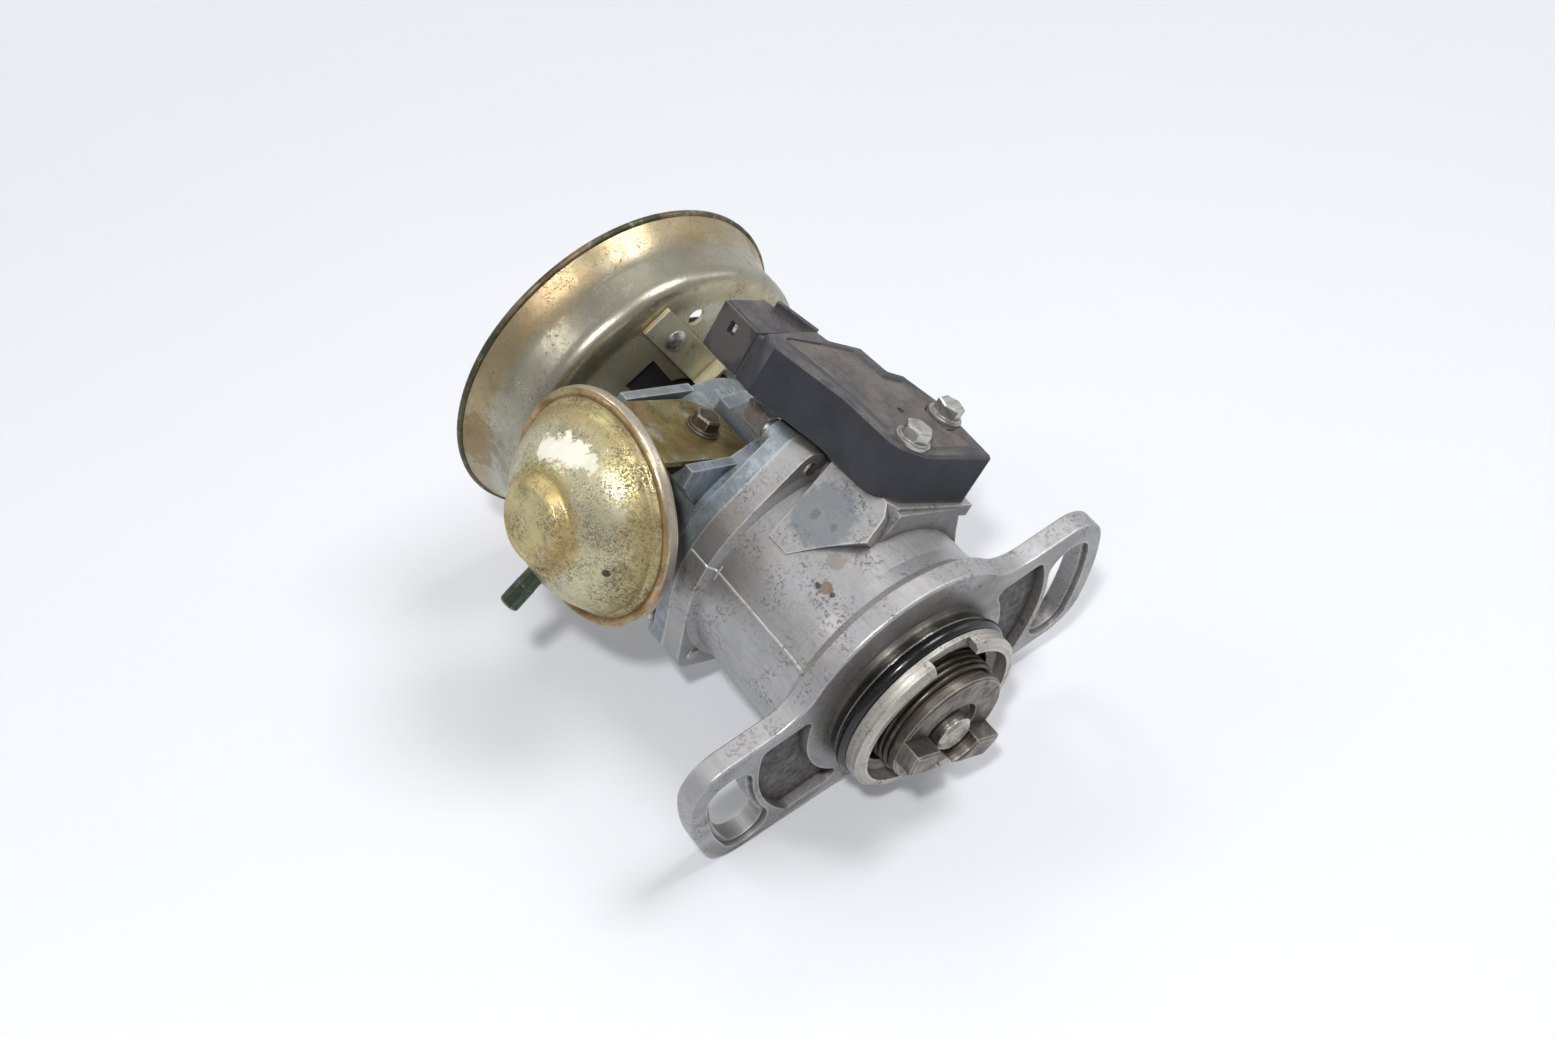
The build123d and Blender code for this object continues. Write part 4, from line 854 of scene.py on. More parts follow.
@dataclass(frozen=True)
class Machined(Finish):
    """Turned or ground steel with an oily brown film."""

    film: Colour = paint(92, 76, 58)
    film_cover: float = 0.5
    edge: Colour = paint(206, 200, 190)
    grime: Colour = paint(34, 29, 24)
    pitch: float = 0.3
    ring_depth: float = 0.03 * MM
    metallic: float = 1.0

    def lay(self, sheet: Sheet) -> Laid:
        """Lays the turning marks and the film.

        Args:
            sheet: the material's sheet.

        Returns:
            What the finish lays.
        """
        tone = SHELF.use(sheet, Effect.TURNING, out=1, Pitch=self.pitch)
        darker = tuple(c * 0.72 for c in self.colour[:3]) + (1.0,)
        colour = sheet.mix(sheet.remap(tone, 0.3, 0.7), self.colour, darker)
        oily = self.patches(sheet, 5.0, cover=self.film_cover, blur=0.15, detail=6.0)
        colour = sheet.mix(sheet.times(oily, 0.65), colour, self.film)
        worn = self.worn(sheet, width=0.6, amount=0.85)
        colour = sheet.mix(sheet.times(worn, 0.8), colour, self.edge)
        occluded_corners = self.occluded_corners(sheet, reach=3.0, amount=0.85)
        # Inner corners, found by ambient occlusion, are darkened towards the grime colour.
        colour = sheet.mix(occluded_corners, colour, self.grime)
        rough = sheet.remap(sheet.math("MAXIMUM", oily, occluded_corners), 0.0, 1.0, self.roughness,
                            self.roughness + 0.22)
        rings = SHELF.use(sheet, Effect.TURNING, Pitch=self.pitch)
        return Laid(colour, rough, rings, self.ring_depth, occluded_corners)


@dataclass(frozen=True)
class Elastic(Finish):
    """Black rubber with a wet sheen in places."""

    bloom: Colour = paint(60, 58, 55)
    grain_depth: float = 0.02 * MM

    def lay(self, sheet: Sheet) -> Laid:
        """Lays the rubber's cloudy bloom.

        Args:
            sheet: the material's sheet.

        Returns:
            What the finish lays.
        """
        cloudy = self.patches(sheet, 4.0, cover=0.35, blur=0.2, detail=5.0)
        colour = sheet.mix(sheet.times(cloudy, 0.1), self.colour, self.bloom)
        rough = sheet.remap(cloudy, 0.0, 1.0, self.roughness, self.roughness + 0.14)
        grain = SHELF.use(sheet, Effect.GRAIN, Size=0.4, Pits=0.0, Seed=self.seed)
        return Laid(colour, rough, grain, self.grain_depth)


# --- mesh helpers --------------------------------------------------------------------------------
def piece_from(name: str, mesh: bpy.types.Mesh, body: str | None, angle: float = 32.0) -> bpy.types.Object:
    """Puts a mesh in the scene as a smooth piece on a body.

    Args:
        name: the piece's name.
        mesh: its mesh, in the row frame.
        body: the body that it rides on, or None to leave it on no body.
        angle: edges bent by more than this many degrees stay sharp.

    Returns:
        The piece.
    """
    mesh.validate()
    mesh.shade_smooth()
    mesh.set_sharp_from_angle(angle=math.radians(angle))
    made = bpy.data.objects.new(name, mesh)
    bpy.context.scene.collection.objects.link(made)
    if body is not None:
        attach(made, body)
    return made


def eased(points: Sequence[Tuple[float, ...]], steps: int = 7) -> List[Tuple[float, float]]:
    """Rounds the corners of an open line.

    Args:
        points: (along, radius) or (along, radius, fillet) for each corner, in millimetres.
        steps: pieces in each rounded corner.

    Returns:
        The rounded line's points.
    """
    line: List[Tuple[float, float]] = []
    for index, point in enumerate(points):
        here = Vector(point[:2])
        if len(point) < 3 or index in (0, len(points) - 1):
            line.append((here.x, here.y))
            continue
        back, on = Vector(points[index - 1][:2]) - here, Vector(points[index + 1][:2]) - here
        reach = min(point[2], 0.48 * back.length, 0.48 * on.length)
        first, last = here + back.normalized() * reach, here + on.normalized() * reach
        for step in range(steps + 1):
            t = step / steps
            at = first * (1 - t) ** 2 + here * 2 * t * (1 - t) + last * t * t
            line.append((at.x, at.y))
    return line


def sheet_outline(path: Sequence[Tuple[float, float]], thickness: float) -> List[Tuple[float, float]]:
    """Closed outline of a sheet whose outer face follows a line.

    Args:
        path: the outer face's (along, radius) points.
        thickness: the sheet's thickness, laid to the left of the line.

    Returns:
        The outline, out along the face and back along the other.
    """
    inner: List[Tuple[float, float]] = []
    for index, (along, radius) in enumerate(path):
        before, after = path[max(index - 1, 0)], path[min(index + 1, len(path) - 1)]
        run = Vector((after[0] - before[0], after[1] - before[1])).normalized()
        inner.append((along - run.y * thickness, max(radius + run.x * thickness, 0.0)))
    return list(path) + inner[::-1]


def mesh_of(sheet: bmesh.types.BMesh, name: str) -> bpy.types.Mesh:
    """Makes a mesh of a bmesh, its faces looking out, and frees the bmesh.

    Args:
        sheet: the bmesh.
        name: the mesh's name.

    Returns:
        The mesh.
    """
    bmesh.ops.recalc_face_normals(sheet, faces=sheet.faces)
    mesh = bpy.data.meshes.new(name)
    sheet.to_mesh(mesh)
    sheet.free()
    return mesh


def lathe(name: str, outline: Sequence[Tuple[float, float]], place: Matrix,
          steps: int = 144) -> bpy.types.Mesh:
    """Mesh turned about local X from a closed outline.

    Args:
        name: the mesh's name.
        outline: closed (along, radius) points, in millimetres.
        place: where the turned shape goes, in metres.
        steps: facets round the axis.

    Returns:
        The mesh.
    """
    sheet = bmesh.new()
    rings: List[List[bmesh.types.BMVert]] = []
    for along, radius in outline:
        if radius < 1e-4:
            rings.append([sheet.verts.new(place @ (Vector((along, 0, 0)) * MM))])
            continue
        rings.append([sheet.verts.new(place @ (Vector((
            along, radius * math.cos(2 * math.pi * k / steps),
            radius * math.sin(2 * math.pi * k / steps))) * MM))
            for k in range(steps)])
    for first, second in zip(rings, rings[1:] + rings[:1]):
        for k in range(steps):
            corners = [first[k % len(first)], first[(k + 1) % len(first)],
                       second[(k + 1) % len(second)], second[k % len(second)]]
            unique = list(dict.fromkeys(corners))
            if len(unique) > 2:
                sheet.faces.new(unique)
    return mesh_of(sheet, name)


def cut_away(mesh: bpy.types.Mesh, cutters: Iterable[bpy.types.Mesh]) -> bpy.types.Mesh:
    """Cuts solids out of a mesh.

    Args:
        mesh: the mesh to cut.
        cutters: the closed meshes to take away.

    Returns:
        The cut mesh.
    """
    body = bpy.data.objects.new("cut_body", mesh)
    bpy.context.scene.collection.objects.link(body)
    tools = []
    for cutter in cutters:
        tool = bpy.data.objects.new("cut_tool", cutter)
        bpy.context.scene.collection.objects.link(tool)
        step = body.modifiers.new("cut", "BOOLEAN")
        step.operation, step.solver, step.object = "DIFFERENCE", "EXACT", tool
        tools.append(tool)
    seen = body.evaluated_get(bpy.context.evaluated_depsgraph_get())
    done = bpy.data.meshes.new_from_object(seen)
    for thing in tools + [body]:
        bpy.data.objects.remove(thing)
    return done


def block(name: str, corners: Sequence[Tuple[float, float]], x0: float, x1: float) -> bpy.types.Mesh:
    """Prism along X over a (y, z) outline, in millimetres.

    Args:
        name: the mesh's name.
        corners: the outline's corners.
        x0: where it starts.
        x1: where it ends.

    Returns:
        The mesh.
    """
    sheet = bmesh.new()
    low = [sheet.verts.new(Vector((x0, y, z)) * MM) for y, z in corners]
    high = [sheet.verts.new(Vector((x1, y, z)) * MM) for y, z in corners]
    sheet.faces.new(low)
    sheet.faces.new(high[::-1])
    for k in range(len(corners)):
        n = (k + 1) % len(corners)
        sheet.faces.new([low[k], high[k], high[n], low[n]])
    return mesh_of(sheet, name)


def round_corners(y: float, z: float, radius: float, count: int = 40) -> List[Tuple[float, float]]:
    """Corners of a near-round outline about (y, z), in millimetres."""
    return [(y + radius * math.cos(2 * math.pi * k / count), z + radius * math.sin(2 * math.pi * k / count))
            for k in range(count)]


def raised_line(name: str, stations: Sequence[Tuple[Vector, Vector, Vector]], width: float,
                height: float) -> bpy.types.Mesh:
    """Low rounded ridge along a line, as two halves of a mould leave.

    Args:
        name: the mesh's name.
        stations: place in millimetres, way out of the surface and way across the ridge, at each station.
        width: the ridge's width, in millimetres.
        height: how far it stands out, in millimetres.

    Returns:
        The mesh.
    """
    section = [(-0.5, -0.25), (-0.42, 0.05), (-0.24, 0.75), (0.0, 1.0), (0.24, 0.75), (0.42, 0.05),
               (0.5, -0.25)]
    sheet = bmesh.new()
    rings = []
    for index, (at, out, across) in enumerate(stations):
        uneven = 0.8 + 0.4 * noise.noise(at * 0.35 + Vector((index * 0.11, 0.0, 0.0)))
        rings.append([sheet.verts.new((at + across * (u * width) + out * (v * height * uneven)) * MM)
                      for u, v in section])
    for first, second in zip(rings, rings[1:]):
        for k in range(len(section)):
            n = (k + 1) % len(section)
            sheet.faces.new([first[k], first[n], second[n], second[k]])
    sheet.faces.new(rings[0])
    sheet.faces.new(rings[-1][::-1])
    return mesh_of(sheet, name)


def dent(mesh: bpy.types.Mesh, depth: float, size: float, seed: float) -> None:
    """Pushes a mesh in and out a little, as a pressed sheet is after years of handling.

    Args:
        mesh: the mesh, in metres.
        depth: how far, in millimetres.
        size: how wide a dent is, in millimetres.
        seed: picks another stretch of the same noise.
    """
    for vertex in mesh.vertices:
        at = vertex.co / (size * MM) + Vector((seed, seed * 2.3, -seed))
        vertex.co += noise.noise_vector(at) * depth * MM


# --- sub-assemblies ------------------------------------------------------------------------------
@dataclass
class Shield:
    """The pressed dish behind the rotor, with its bracket and rivets."""

    sheet: float = 1.0
    face_x: float = -100.0
    rim_x: float = -121.5
    rim_radius: float = 48.7
    bead_radius: float = 1.0
    wall_radius: float = 45.0
    finish: YellowZinc = YellowZinc(
        "shield_zinc", paint(182, 172, 142), roughness=0.3, seed=3.0, stain=paint(116, 94, 62),
        stain_cover=0.36, speck_cover=0.36, tint=paint(158, 162, 140), blush=paint(178, 156, 132),
        bands=(Band(0.0, 36.5, paint(224, 217, 188), 0.72, 1.5, 1.2, 0.55),
               # The grey band on the dish's wall is a painted reflection of dark surroundings over the
               # plating.
               Band(43.4, 45.6, paint(146, 147, 140), 0.6, 0.8, 0.6, 0.32),
               Band(45.8, 51.0, paint(158, 136, 98), 0.55, 0.6, 0.9, 0.36)),
        blots=(Blot((-100.0, -3.7, 34.0), 3.2, paint(224, 220, 208), 0.8),
               Blot((-118.0, -41.9, -20.0), 9.0, paint(132, 106, 72), 0.55, 0.8, 0.5, 0.8),
               Blot((-118.0, -40.0, 24.0), 8.0, paint(146, 120, 84), 0.45, 0.8, 0.5, 0.8)))
    bracket_finish: YellowZinc = YellowZinc(
        "bracket_zinc", paint(206, 200, 172), roughness=0.5, seed=8.0, stain_cover=0.25, speck_cover=0.25,
        metallic=0.6)
    rivet_finish: Machined = Machined("rivet_steel", paint(190, 186, 176), roughness=0.34, film_cover=0.2)
    # The rolled rim's dark olive colour is a painted dark reflection in the curl, over the dish's plating.
    rim_finish: YellowZinc = YellowZinc("rim_zinc_painted_reflection", paint(92, 92, 70), roughness=0.4, seed=5.0,
                                        stain=paint(58, 46, 30), tint=paint(60, 70, 58))

    window_turn: float = -33.0
    window_centre: Tuple[float, float] = (-12.0, 10.8)
    window_half: Tuple[float, float] = (7.0, 4.75)
    round_hole: Tuple[float, float, float] = (-8.1, 32.0, 2.4)
    rivet_hole: float = 1.5
    rivet_orbit: float = 21.8
    rivet_angles: Tuple[float, ...] = (20.0, 200.0, 290.0)
    dent_depth: float = 0.16
    dent_size: float = 22.0
    dent_seed: float = 4.0

    def build(self, nodes: Dict[str, bpy.types.Object]) -> List[bpy.types.Object]:
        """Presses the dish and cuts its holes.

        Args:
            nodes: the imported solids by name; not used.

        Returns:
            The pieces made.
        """
        face = self.face_x
        path = eased([(face, 12.4), (face, 34.8), (face - 0.1, self.wall_radius, 10.0),
                      (face - 13.0, self.wall_radius + 0.3, 2.5), (face - 16.0, 46.1, 2.0),
                      (self.rim_x, self.rim_radius)], steps=12)
        outline = sheet_outline(path[::-1], -self.sheet)
        dish = lathe("shield", outline, Matrix.Identity(4), steps=200)
        turn = math.radians(self.window_turn)
        (wide, tall), (y, z) = self.window_half, self.window_centre
        window = [(y + a * math.cos(turn) - b * math.sin(turn), z + a * math.sin(turn) + b * math.cos(turn))
                  for a, b in ((-wide, -tall), (wide, -tall), (wide, tall), (-wide, tall))]
        holes = [window, round_corners(*self.round_hole)]
        holes += [round_corners(self.rivet_orbit * math.cos(math.radians(a)),
                                self.rivet_orbit * math.sin(math.radians(a)), self.rivet_hole)
                  for a in self.rivet_angles]
        dish = cut_away(dish, [block("hole", hole, face - 4, face + 4) for hole in holes])
        dent(dish, self.dent_depth, self.dent_size, self.dent_seed)
        made = piece_from("shield_sheet", dish, "housing", 28.0)
        bead = [(self.rim_x - 0.4 + self.bead_radius * math.cos(a),
                 self.rim_radius - 0.3 + self.bead_radius * math.sin(a))
                for a in [2 * math.pi * k / 16 for k in range(16)]]
        rolled = lathe("bead", bead, Matrix.Identity(4), steps=200)
        dent(rolled, self.dent_depth, self.dent_size, self.dent_seed)
        rim = piece_from("shield_rim", rolled, "housing")
        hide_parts("shield_dish")
        return [made, rim]

    def dress(self, nodes: Dict[str, bpy.types.Object], made: Sequence[bpy.types.Object]) -> None:
        """Gives the shield's pieces their finishes.

        Args:
            nodes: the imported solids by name.
            made: the pieces that build returned.
        """
        self.finish.dress(made[0])
        self.rim_finish.dress(made[1])
        self.bracket_finish.dress(nodes["shield_bracket"])
        self.rivet_finish.dress(nodes["shield_rivets"])


@dataclass
class VacuumUnit:
    """The diaphragm's can, with its crimped rim, nipple and bracket."""

    centre: Point = CAN_CENTRE
    out: Point = CAN_OUT
    rim_radius: float = 29.2
    sheet: float = 0.9
    coil_seat: float = 17.5
    coil_length: float = 16.2
    rod_travel: float = 2.635
    finish: YellowZinc = YellowZinc(
        "can_zinc", paint(204, 190, 140), roughness=0.38, seed=12.0, stain_cover=0.32, speck_cover=0.66,
        tint=paint(190, 186, 140), stain=paint(122, 100, 60),
        bands=(Band(9.3, 13.4, paint(190, 166, 108), 0.5, 0.8, 1.6, 0.5, CAN_CENTRE, CAN_OUT),
               Band(13.8, 22.0, paint(202, 202, 182), 0.45, 1.2, 4.0, 0.32, CAN_CENTRE, CAN_OUT),
               Band(23.4, 26.4, paint(176, 160, 112), 0.6, 0.6, 1.2, 0.45, CAN_CENTRE, CAN_OUT)),
        # The four near-white matte spots high on the dome are painted highlights, not stains.
        blots=(Blot((-79.4, -61.9, 10.4), 3.2, paint(240, 238, 220), 0.95, 0.7, 0.7, 0.0),
               Blot((-75.6, -61.6, 13.2), 3.9, paint(243, 241, 226), 0.95, 0.8, 0.7, 0.0),
               Blot((-71.3, -61.1, 15.0), 3.6, paint(243, 241, 226), 0.95, 0.8, 0.7, 0.0),
               Blot((-67.4, -60.4, 15.9), 2.5, paint(238, 236, 218), 0.8, 0.9, 0.7, 0.0),
               Blot((-50.7, -57.1, -3.5), 1.2, paint(58, 48, 32), 0.9, 0.15)))
    rim_finish: YellowZinc = YellowZinc(
        "crimp_zinc", paint(172, 146, 106), roughness=0.34, seed=15.0, stain=paint(120, 84, 50),
        stain_cover=0.42, blush=paint(182, 132, 92), speck_cover=0.35,
        bands=(Band(28.95, 30.0, paint(204, 198, 184), 0.65, 0.12, 0.25, 0.28, CAN_CENTRE, CAN_OUT),))
    coil_finish: Machined = Machined("coil_wire", paint(150, 146, 138), roughness=0.34, seed=26.0)
    back_finish: YellowZinc = YellowZinc("can_back_zinc", paint(150, 128, 84), roughness=0.42, seed=21.0)
    plate_finish: YellowZinc = YellowZinc("plate_zinc", paint(150, 130, 76), roughness=0.42, seed=24.0,
                                          speck_cover=0.5, stain=paint(86, 70, 40))
    nipple_finish: Machined = Machined("nipple_plate", paint(86, 96, 84), roughness=0.26,
                                       film=paint(60, 62, 48), seed=6.0)
    nipple_foot: Point = (10.95, 18.9, 0.0)
    nipple_out: Point = (0.535, 0.845, 0.0)
    nipple_radius: float = 2.45

    def place(self) -> Matrix:
        """The can's own frame: local X points out along the diaphragm's axis."""
        out = Vector(self.out)
        side = Vector((0, -out.z, out.y))
        basis = Matrix((out, side, out.cross(side))).transposed().to_4x4()
        return Matrix.Translation(Vector(self.centre) * MM) @ basis

    def build(self, nodes: Dict[str, bpy.types.Object]) -> List[bpy.types.Object]:
        """Presses the cover, crimps its rim and winds the coil that the diaphragm presses.

        Args:
            nodes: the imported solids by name.

        Returns:
            The pieces made.
        """
        where = self.place()
        path = eased([(1.5, 26.9), (2.3, 26.2, 0.3), (3.0, 25.3, 0.3), (4.6, 24.8, 0.7), (9.5, 21.4, 5.0),
                      (13.0, 17.0, 4.0), (15.2, 13.8, 1.0), (15.9, 11.4, 0.8), (18.5, 10.4, 0.8),
                      (19.4, 9.3, 0.9), (19.3, 8.6, 0.3), (18.9, 8.2, 0.3), (18.9, 0.0)], steps=6)
        inner = [(x - self.sheet, max(r - self.sheet * 0.6, 0.0)) for x, r in path]
        cover = lathe("cover", path + inner[::-1], where, steps=180)
        cover = cut_away(cover, [self.nipple_bore()])
        dent(cover, 0.14, 13.0, 1.0)
        face = piece_from("can_cover", cover, "housing", 30.0)
        crimp = eased([(1.5, 26.6), (1.9, 27.2, 0.3), (2.3, 28.2, 0.6), (1.5, 29.1, 0.6), (0.4, 29.2, 0.3),
                       (-0.9, 29.2, 0.4), (-1.9, 28.5, 0.7), (-1.8, 27.4, 0.4), (-1.2, 27.2),
                       (-0.6, 27.1)], steps=5)
        rolled = lathe("crimp", crimp, where, steps=180)
        dent(rolled, 0.18, 9.0, 2.0)
        rim = piece_from("can_rim", rolled, "housing")
        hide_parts("vacuum_cover")
        coil = piece_from("diaphragm_coil", nodes["vacuum_spring"].data.copy(), "housing", 40.0)
        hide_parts("vacuum_spring")
        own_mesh(coil)
        return [face, rim, coil]

    def nipple_bore(self) -> bpy.types.Mesh:
        """Round cutter where the nipple goes through the cover.

        Returns:
            The cutter's mesh.
        """
        where = self.place()
        base = where @ (Vector(self.nipple_foot) * MM)
        out = (where.to_3x3() @ Vector(self.nipple_out)).normalized()
        turn = out.to_track_quat("X", "Z").to_matrix().to_4x4()
        outline = [(-5, 0), (-5, self.nipple_radius), (5, self.nipple_radius), (5, 0)]
        return lathe("bore", outline, Matrix.Translation(base) @ turn, steps=48)

    def dress(self, nodes: Dict[str, bpy.types.Object], made: Sequence[bpy.types.Object]) -> None:
        """Gives the unit's pieces their finishes.

        Args:
            nodes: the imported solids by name.
            made: the pieces that build returned.
        """
        self.finish.dress(made[0])
        self.rim_finish.dress(made[1])
        self.coil_finish.dress(made[2])
        self.back_finish.dress(nodes["vacuum_back"])
        self.plate_finish.dress(nodes["vacuum_bracket"])
        self.nipple_finish.dress(nodes["hose_nipple"])


@dataclass
class Housings:
    """The two castings, their screws and seals."""

    lower: CastAlloy = CastAlloy(
        "cast_grey", paint(188, 187, 188), roughness=0.38, seed=1.0, shade=paint(140, 140, 142),
        turned_from=0.05, corner_amount=0.85,
        blots=(Blot((-17.6, -25.7, 17.8), 1.9, paint(116, 92, 70), 0.75, 0.8),
               Blot((-19.6, -26.2, 16.8), 0.9, paint(58, 46, 36), 0.9, 0.9),
               Blot((-15.3, -25.8, 17.8), 0.8, paint(58, 46, 36), 0.9, 0.9),
               Blot((-21.6, -22.0, 22.3), 2.6, paint(118, 108, 92), 0.5, 0.9),
               Blot((-31.5, -20.0, 26.5), 9.0, paint(104, 113, 120), 0.6, 0.35, 0.45, 0.6),
               Blot((-33.5, -20.5, 25.6), 1.5, paint(92, 78, 60), 0.5, 1.0),
               Blot((-27.5, -20.0, 26.6), 1.2, paint(92, 78, 60), 0.5, 1.0),
               Blot((0.0, -43.5, -33.0), 5.0, paint(120, 112, 100), 0.5, 0.9, 0.6, 0.4)))
    upper: CastAlloy = CastAlloy(
        "cast_bluish", paint(160, 168, 174), roughness=0.42, seed=31.0, shade=paint(112, 120, 128),
        corner_amount=0.8, run_colour=paint(190, 200, 208), run_stretch=(0.25, 0.6, 0.12), run_amount=0.45,
        grit_cover=0.4,
        blots=(Blot((-68.2, -17.0, 28.3), 7.0, paint(112, 84, 56), 0.65, 0.8),
               Blot((-60.0, -29.0, 15.0), 6.0, paint(150, 170, 190), 0.4, 0.8, 0.6)))
    screws: Machined = Machined("screw_zinc", paint(196, 196, 190), roughness=0.3,
                                film=paint(120, 112, 96), film_cover=0.35, seed=2.0)
    brown_bolt: Machined = Machined("bolt_brown", paint(110, 104, 90), roughness=0.4,
                                    film=paint(74, 62, 44), seed=9.0)
    rubber: Elastic = Elastic("rubber_black", paint(7, 7, 8), roughness=0.2)

    ridge_angle: float = 177.1
    ridge_profile: Tuple[Tuple[float, float], ...] = (
        (-49.8, 33.0), (-43.6, 33.0), (-42.3, 30.9), (-12.0, 31.3), (-8.3, 31.8), (-6.4, 33.2))
    tick_x: float = -41.4
    tick_radius: float = 30.92
    tick_span: float = 8.0

    def build(self, nodes: Dict[str, bpy.types.Object]) -> List[bpy.types.Object]:
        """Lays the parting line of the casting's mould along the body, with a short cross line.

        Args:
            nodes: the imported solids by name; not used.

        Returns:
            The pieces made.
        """
        turn = math.radians(self.ridge_angle)
        out = Vector((0.0, math.cos(turn), math.sin(turn)))
        across = Vector((0.0, -out.z, out.y))
        along = Vector((1.0, 0.0, 0.0))
        stations = []
        for (x0, r0), (x1, r1) in zip(self.ridge_profile, self.ridge_profile[1:]):
            steps = max(2, int(abs(x1 - x0) / 0.8))
            stations += [(along * (x0 + (x1 - x0) * k / steps) + out * (r0 + (r1 - r0) * k / steps),
                          out, across) for k in range(steps)]
        made = [piece_from("parting_ridge", raised_line("ridge", stations, 0.85, 0.36), "housing", 50.0)]
        short = []
        steps = 12
        for k in range(steps + 1):
            turned = turn + math.radians(self.tick_span * (k / steps - 0.5))
            way = Vector((0.0, math.cos(turned), math.sin(turned)))
            short.append((along * self.tick_x + way * self.tick_radius, way, along))
        made.append(piece_from("parting_tick", raised_line("tick", short, 0.7, 0.3), "housing", 50.0))
        return made

    def dress(self, nodes: Dict[str, bpy.types.Object], made: Sequence[bpy.types.Object]) -> None:
        """Gives the castings and what is screwed to them their finishes.

        Args:
            nodes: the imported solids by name.
            made: the pieces that build returned.
        """
        for piece in made:
            self.lower.dress(piece)
        self.lower.dress(nodes["lower_housing"])
        self.upper.dress(nodes["upper_housing"])
        for name in ("joint_screws", "module_bolts"):
            self.screws.dress(nodes[name])
        self.brown_bolt.dress(nodes["bracket_bolt"])
        for name in ("o_ring", "shaft_seal", "diaphragm"):
            self.rubber.dress(nodes[name])


@dataclass
class DriveEnd:
    """The shaft, the coupling and all that turns inside."""

    steel: Machined = Machined("drive_steel", paint(132, 126, 119), roughness=0.3, seed=4.0, film_cover=0.5,
                               film=paint(62, 53, 43))
    wire: Machined = Machined("wire_steel", paint(104, 98, 88), roughness=0.34, seed=14.0,
                              film=paint(58, 48, 38))
    bright: Machined = Machined("shaft_steel", paint(188, 184, 176), roughness=0.26, seed=23.0,
                                film_cover=0.3, film=paint(92, 82, 68))
    clean: Machined = Machined("plated_steel", paint(186, 184, 176), roughness=0.34, film_cover=0.3,
                               seed=17.0)
    bronze: Machined = Machined("bronze", paint(168, 128, 78), roughness=0.42, film=paint(96, 68, 40),
                                seed=18.0)
    brass: Machined = Machined("contact_brass", paint(206, 172, 104), roughness=0.3,
                               film=paint(120, 92, 52), seed=19.0)
    resin: Moulded = Moulded("rotor_resin", paint(96, 46, 28), roughness=0.42, dust_amount=0.3, seed=20.0,
                             rubbed=paint(150, 92, 66))

    post_orbit: float = 21.0
    post_angle: float = 157.5
    arm_orbit: float = 12.5
    spring_x: float = -39.2
    eye: float = 3.3

    def build(self, nodes: Dict[str, bpy.types.Object]) -> List[bpy.types.Object]:
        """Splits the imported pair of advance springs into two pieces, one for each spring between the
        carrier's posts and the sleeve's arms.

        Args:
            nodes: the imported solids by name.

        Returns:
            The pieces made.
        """
        made = []
        for name, side in (("advance_coil_a", 1.0), ("advance_coil_b", -1.0)):
            turn = math.radians(self.post_angle)
            post = Vector((0.0, math.cos(turn), math.sin(turn))) * self.post_orbit * side
            arm = Vector((0.0, 0.0, self.arm_orbit)) * side
            middle, along = (post + arm) / 2, (arm - post).normalized() * self.eye
            half = nodes["advance_springs"].data.copy()
            sheet = bmesh.new()
            sheet.from_mesh(half)
            bmesh.ops.delete(sheet, geom=[v for v in sheet.verts if v.co.dot(middle) < 0.0],
                             context="VERTS")
            sheet.to_mesh(half)
            sheet.free()
            spring = piece_from(name, half, None, 40.0)
            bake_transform(spring)
            made.append(spring)
        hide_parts("advance_springs")
        return made

    def dress(self, nodes: Dict[str, bpy.types.Object], made: Sequence[bpy.types.Object]) -> None:
        """Gives the turning parts and the works inside their finishes.

        Args:
            nodes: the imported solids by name.
            made: the pieces that build returned.
        """
        for spring in made:
            self.wire.dress(spring)
        self.bright.dress(nodes["drive_shaft"])
        self.brass.dress(nodes["rotor_contact"])
        self.resin.dress(nodes["rotor_arm"])
        for finish, names in (
                (self.steel, ("drive_coupling", "coupling_pin", "thrust_washers", "carrier_plate",
                              "weight_pins", "weight_a", "weight_b", "timing_sleeve", "reluctor",
                              "pickup_plate", "pickup_pole")),
                (self.wire, ("retaining_spring", "plate_clip")),
                (self.clean, ("pull_rod", "diaphragm_cups")),
                (self.bronze, ("shaft_bushes", "upper_bush"))):
            for name in names:
                finish.dress(nodes[name])


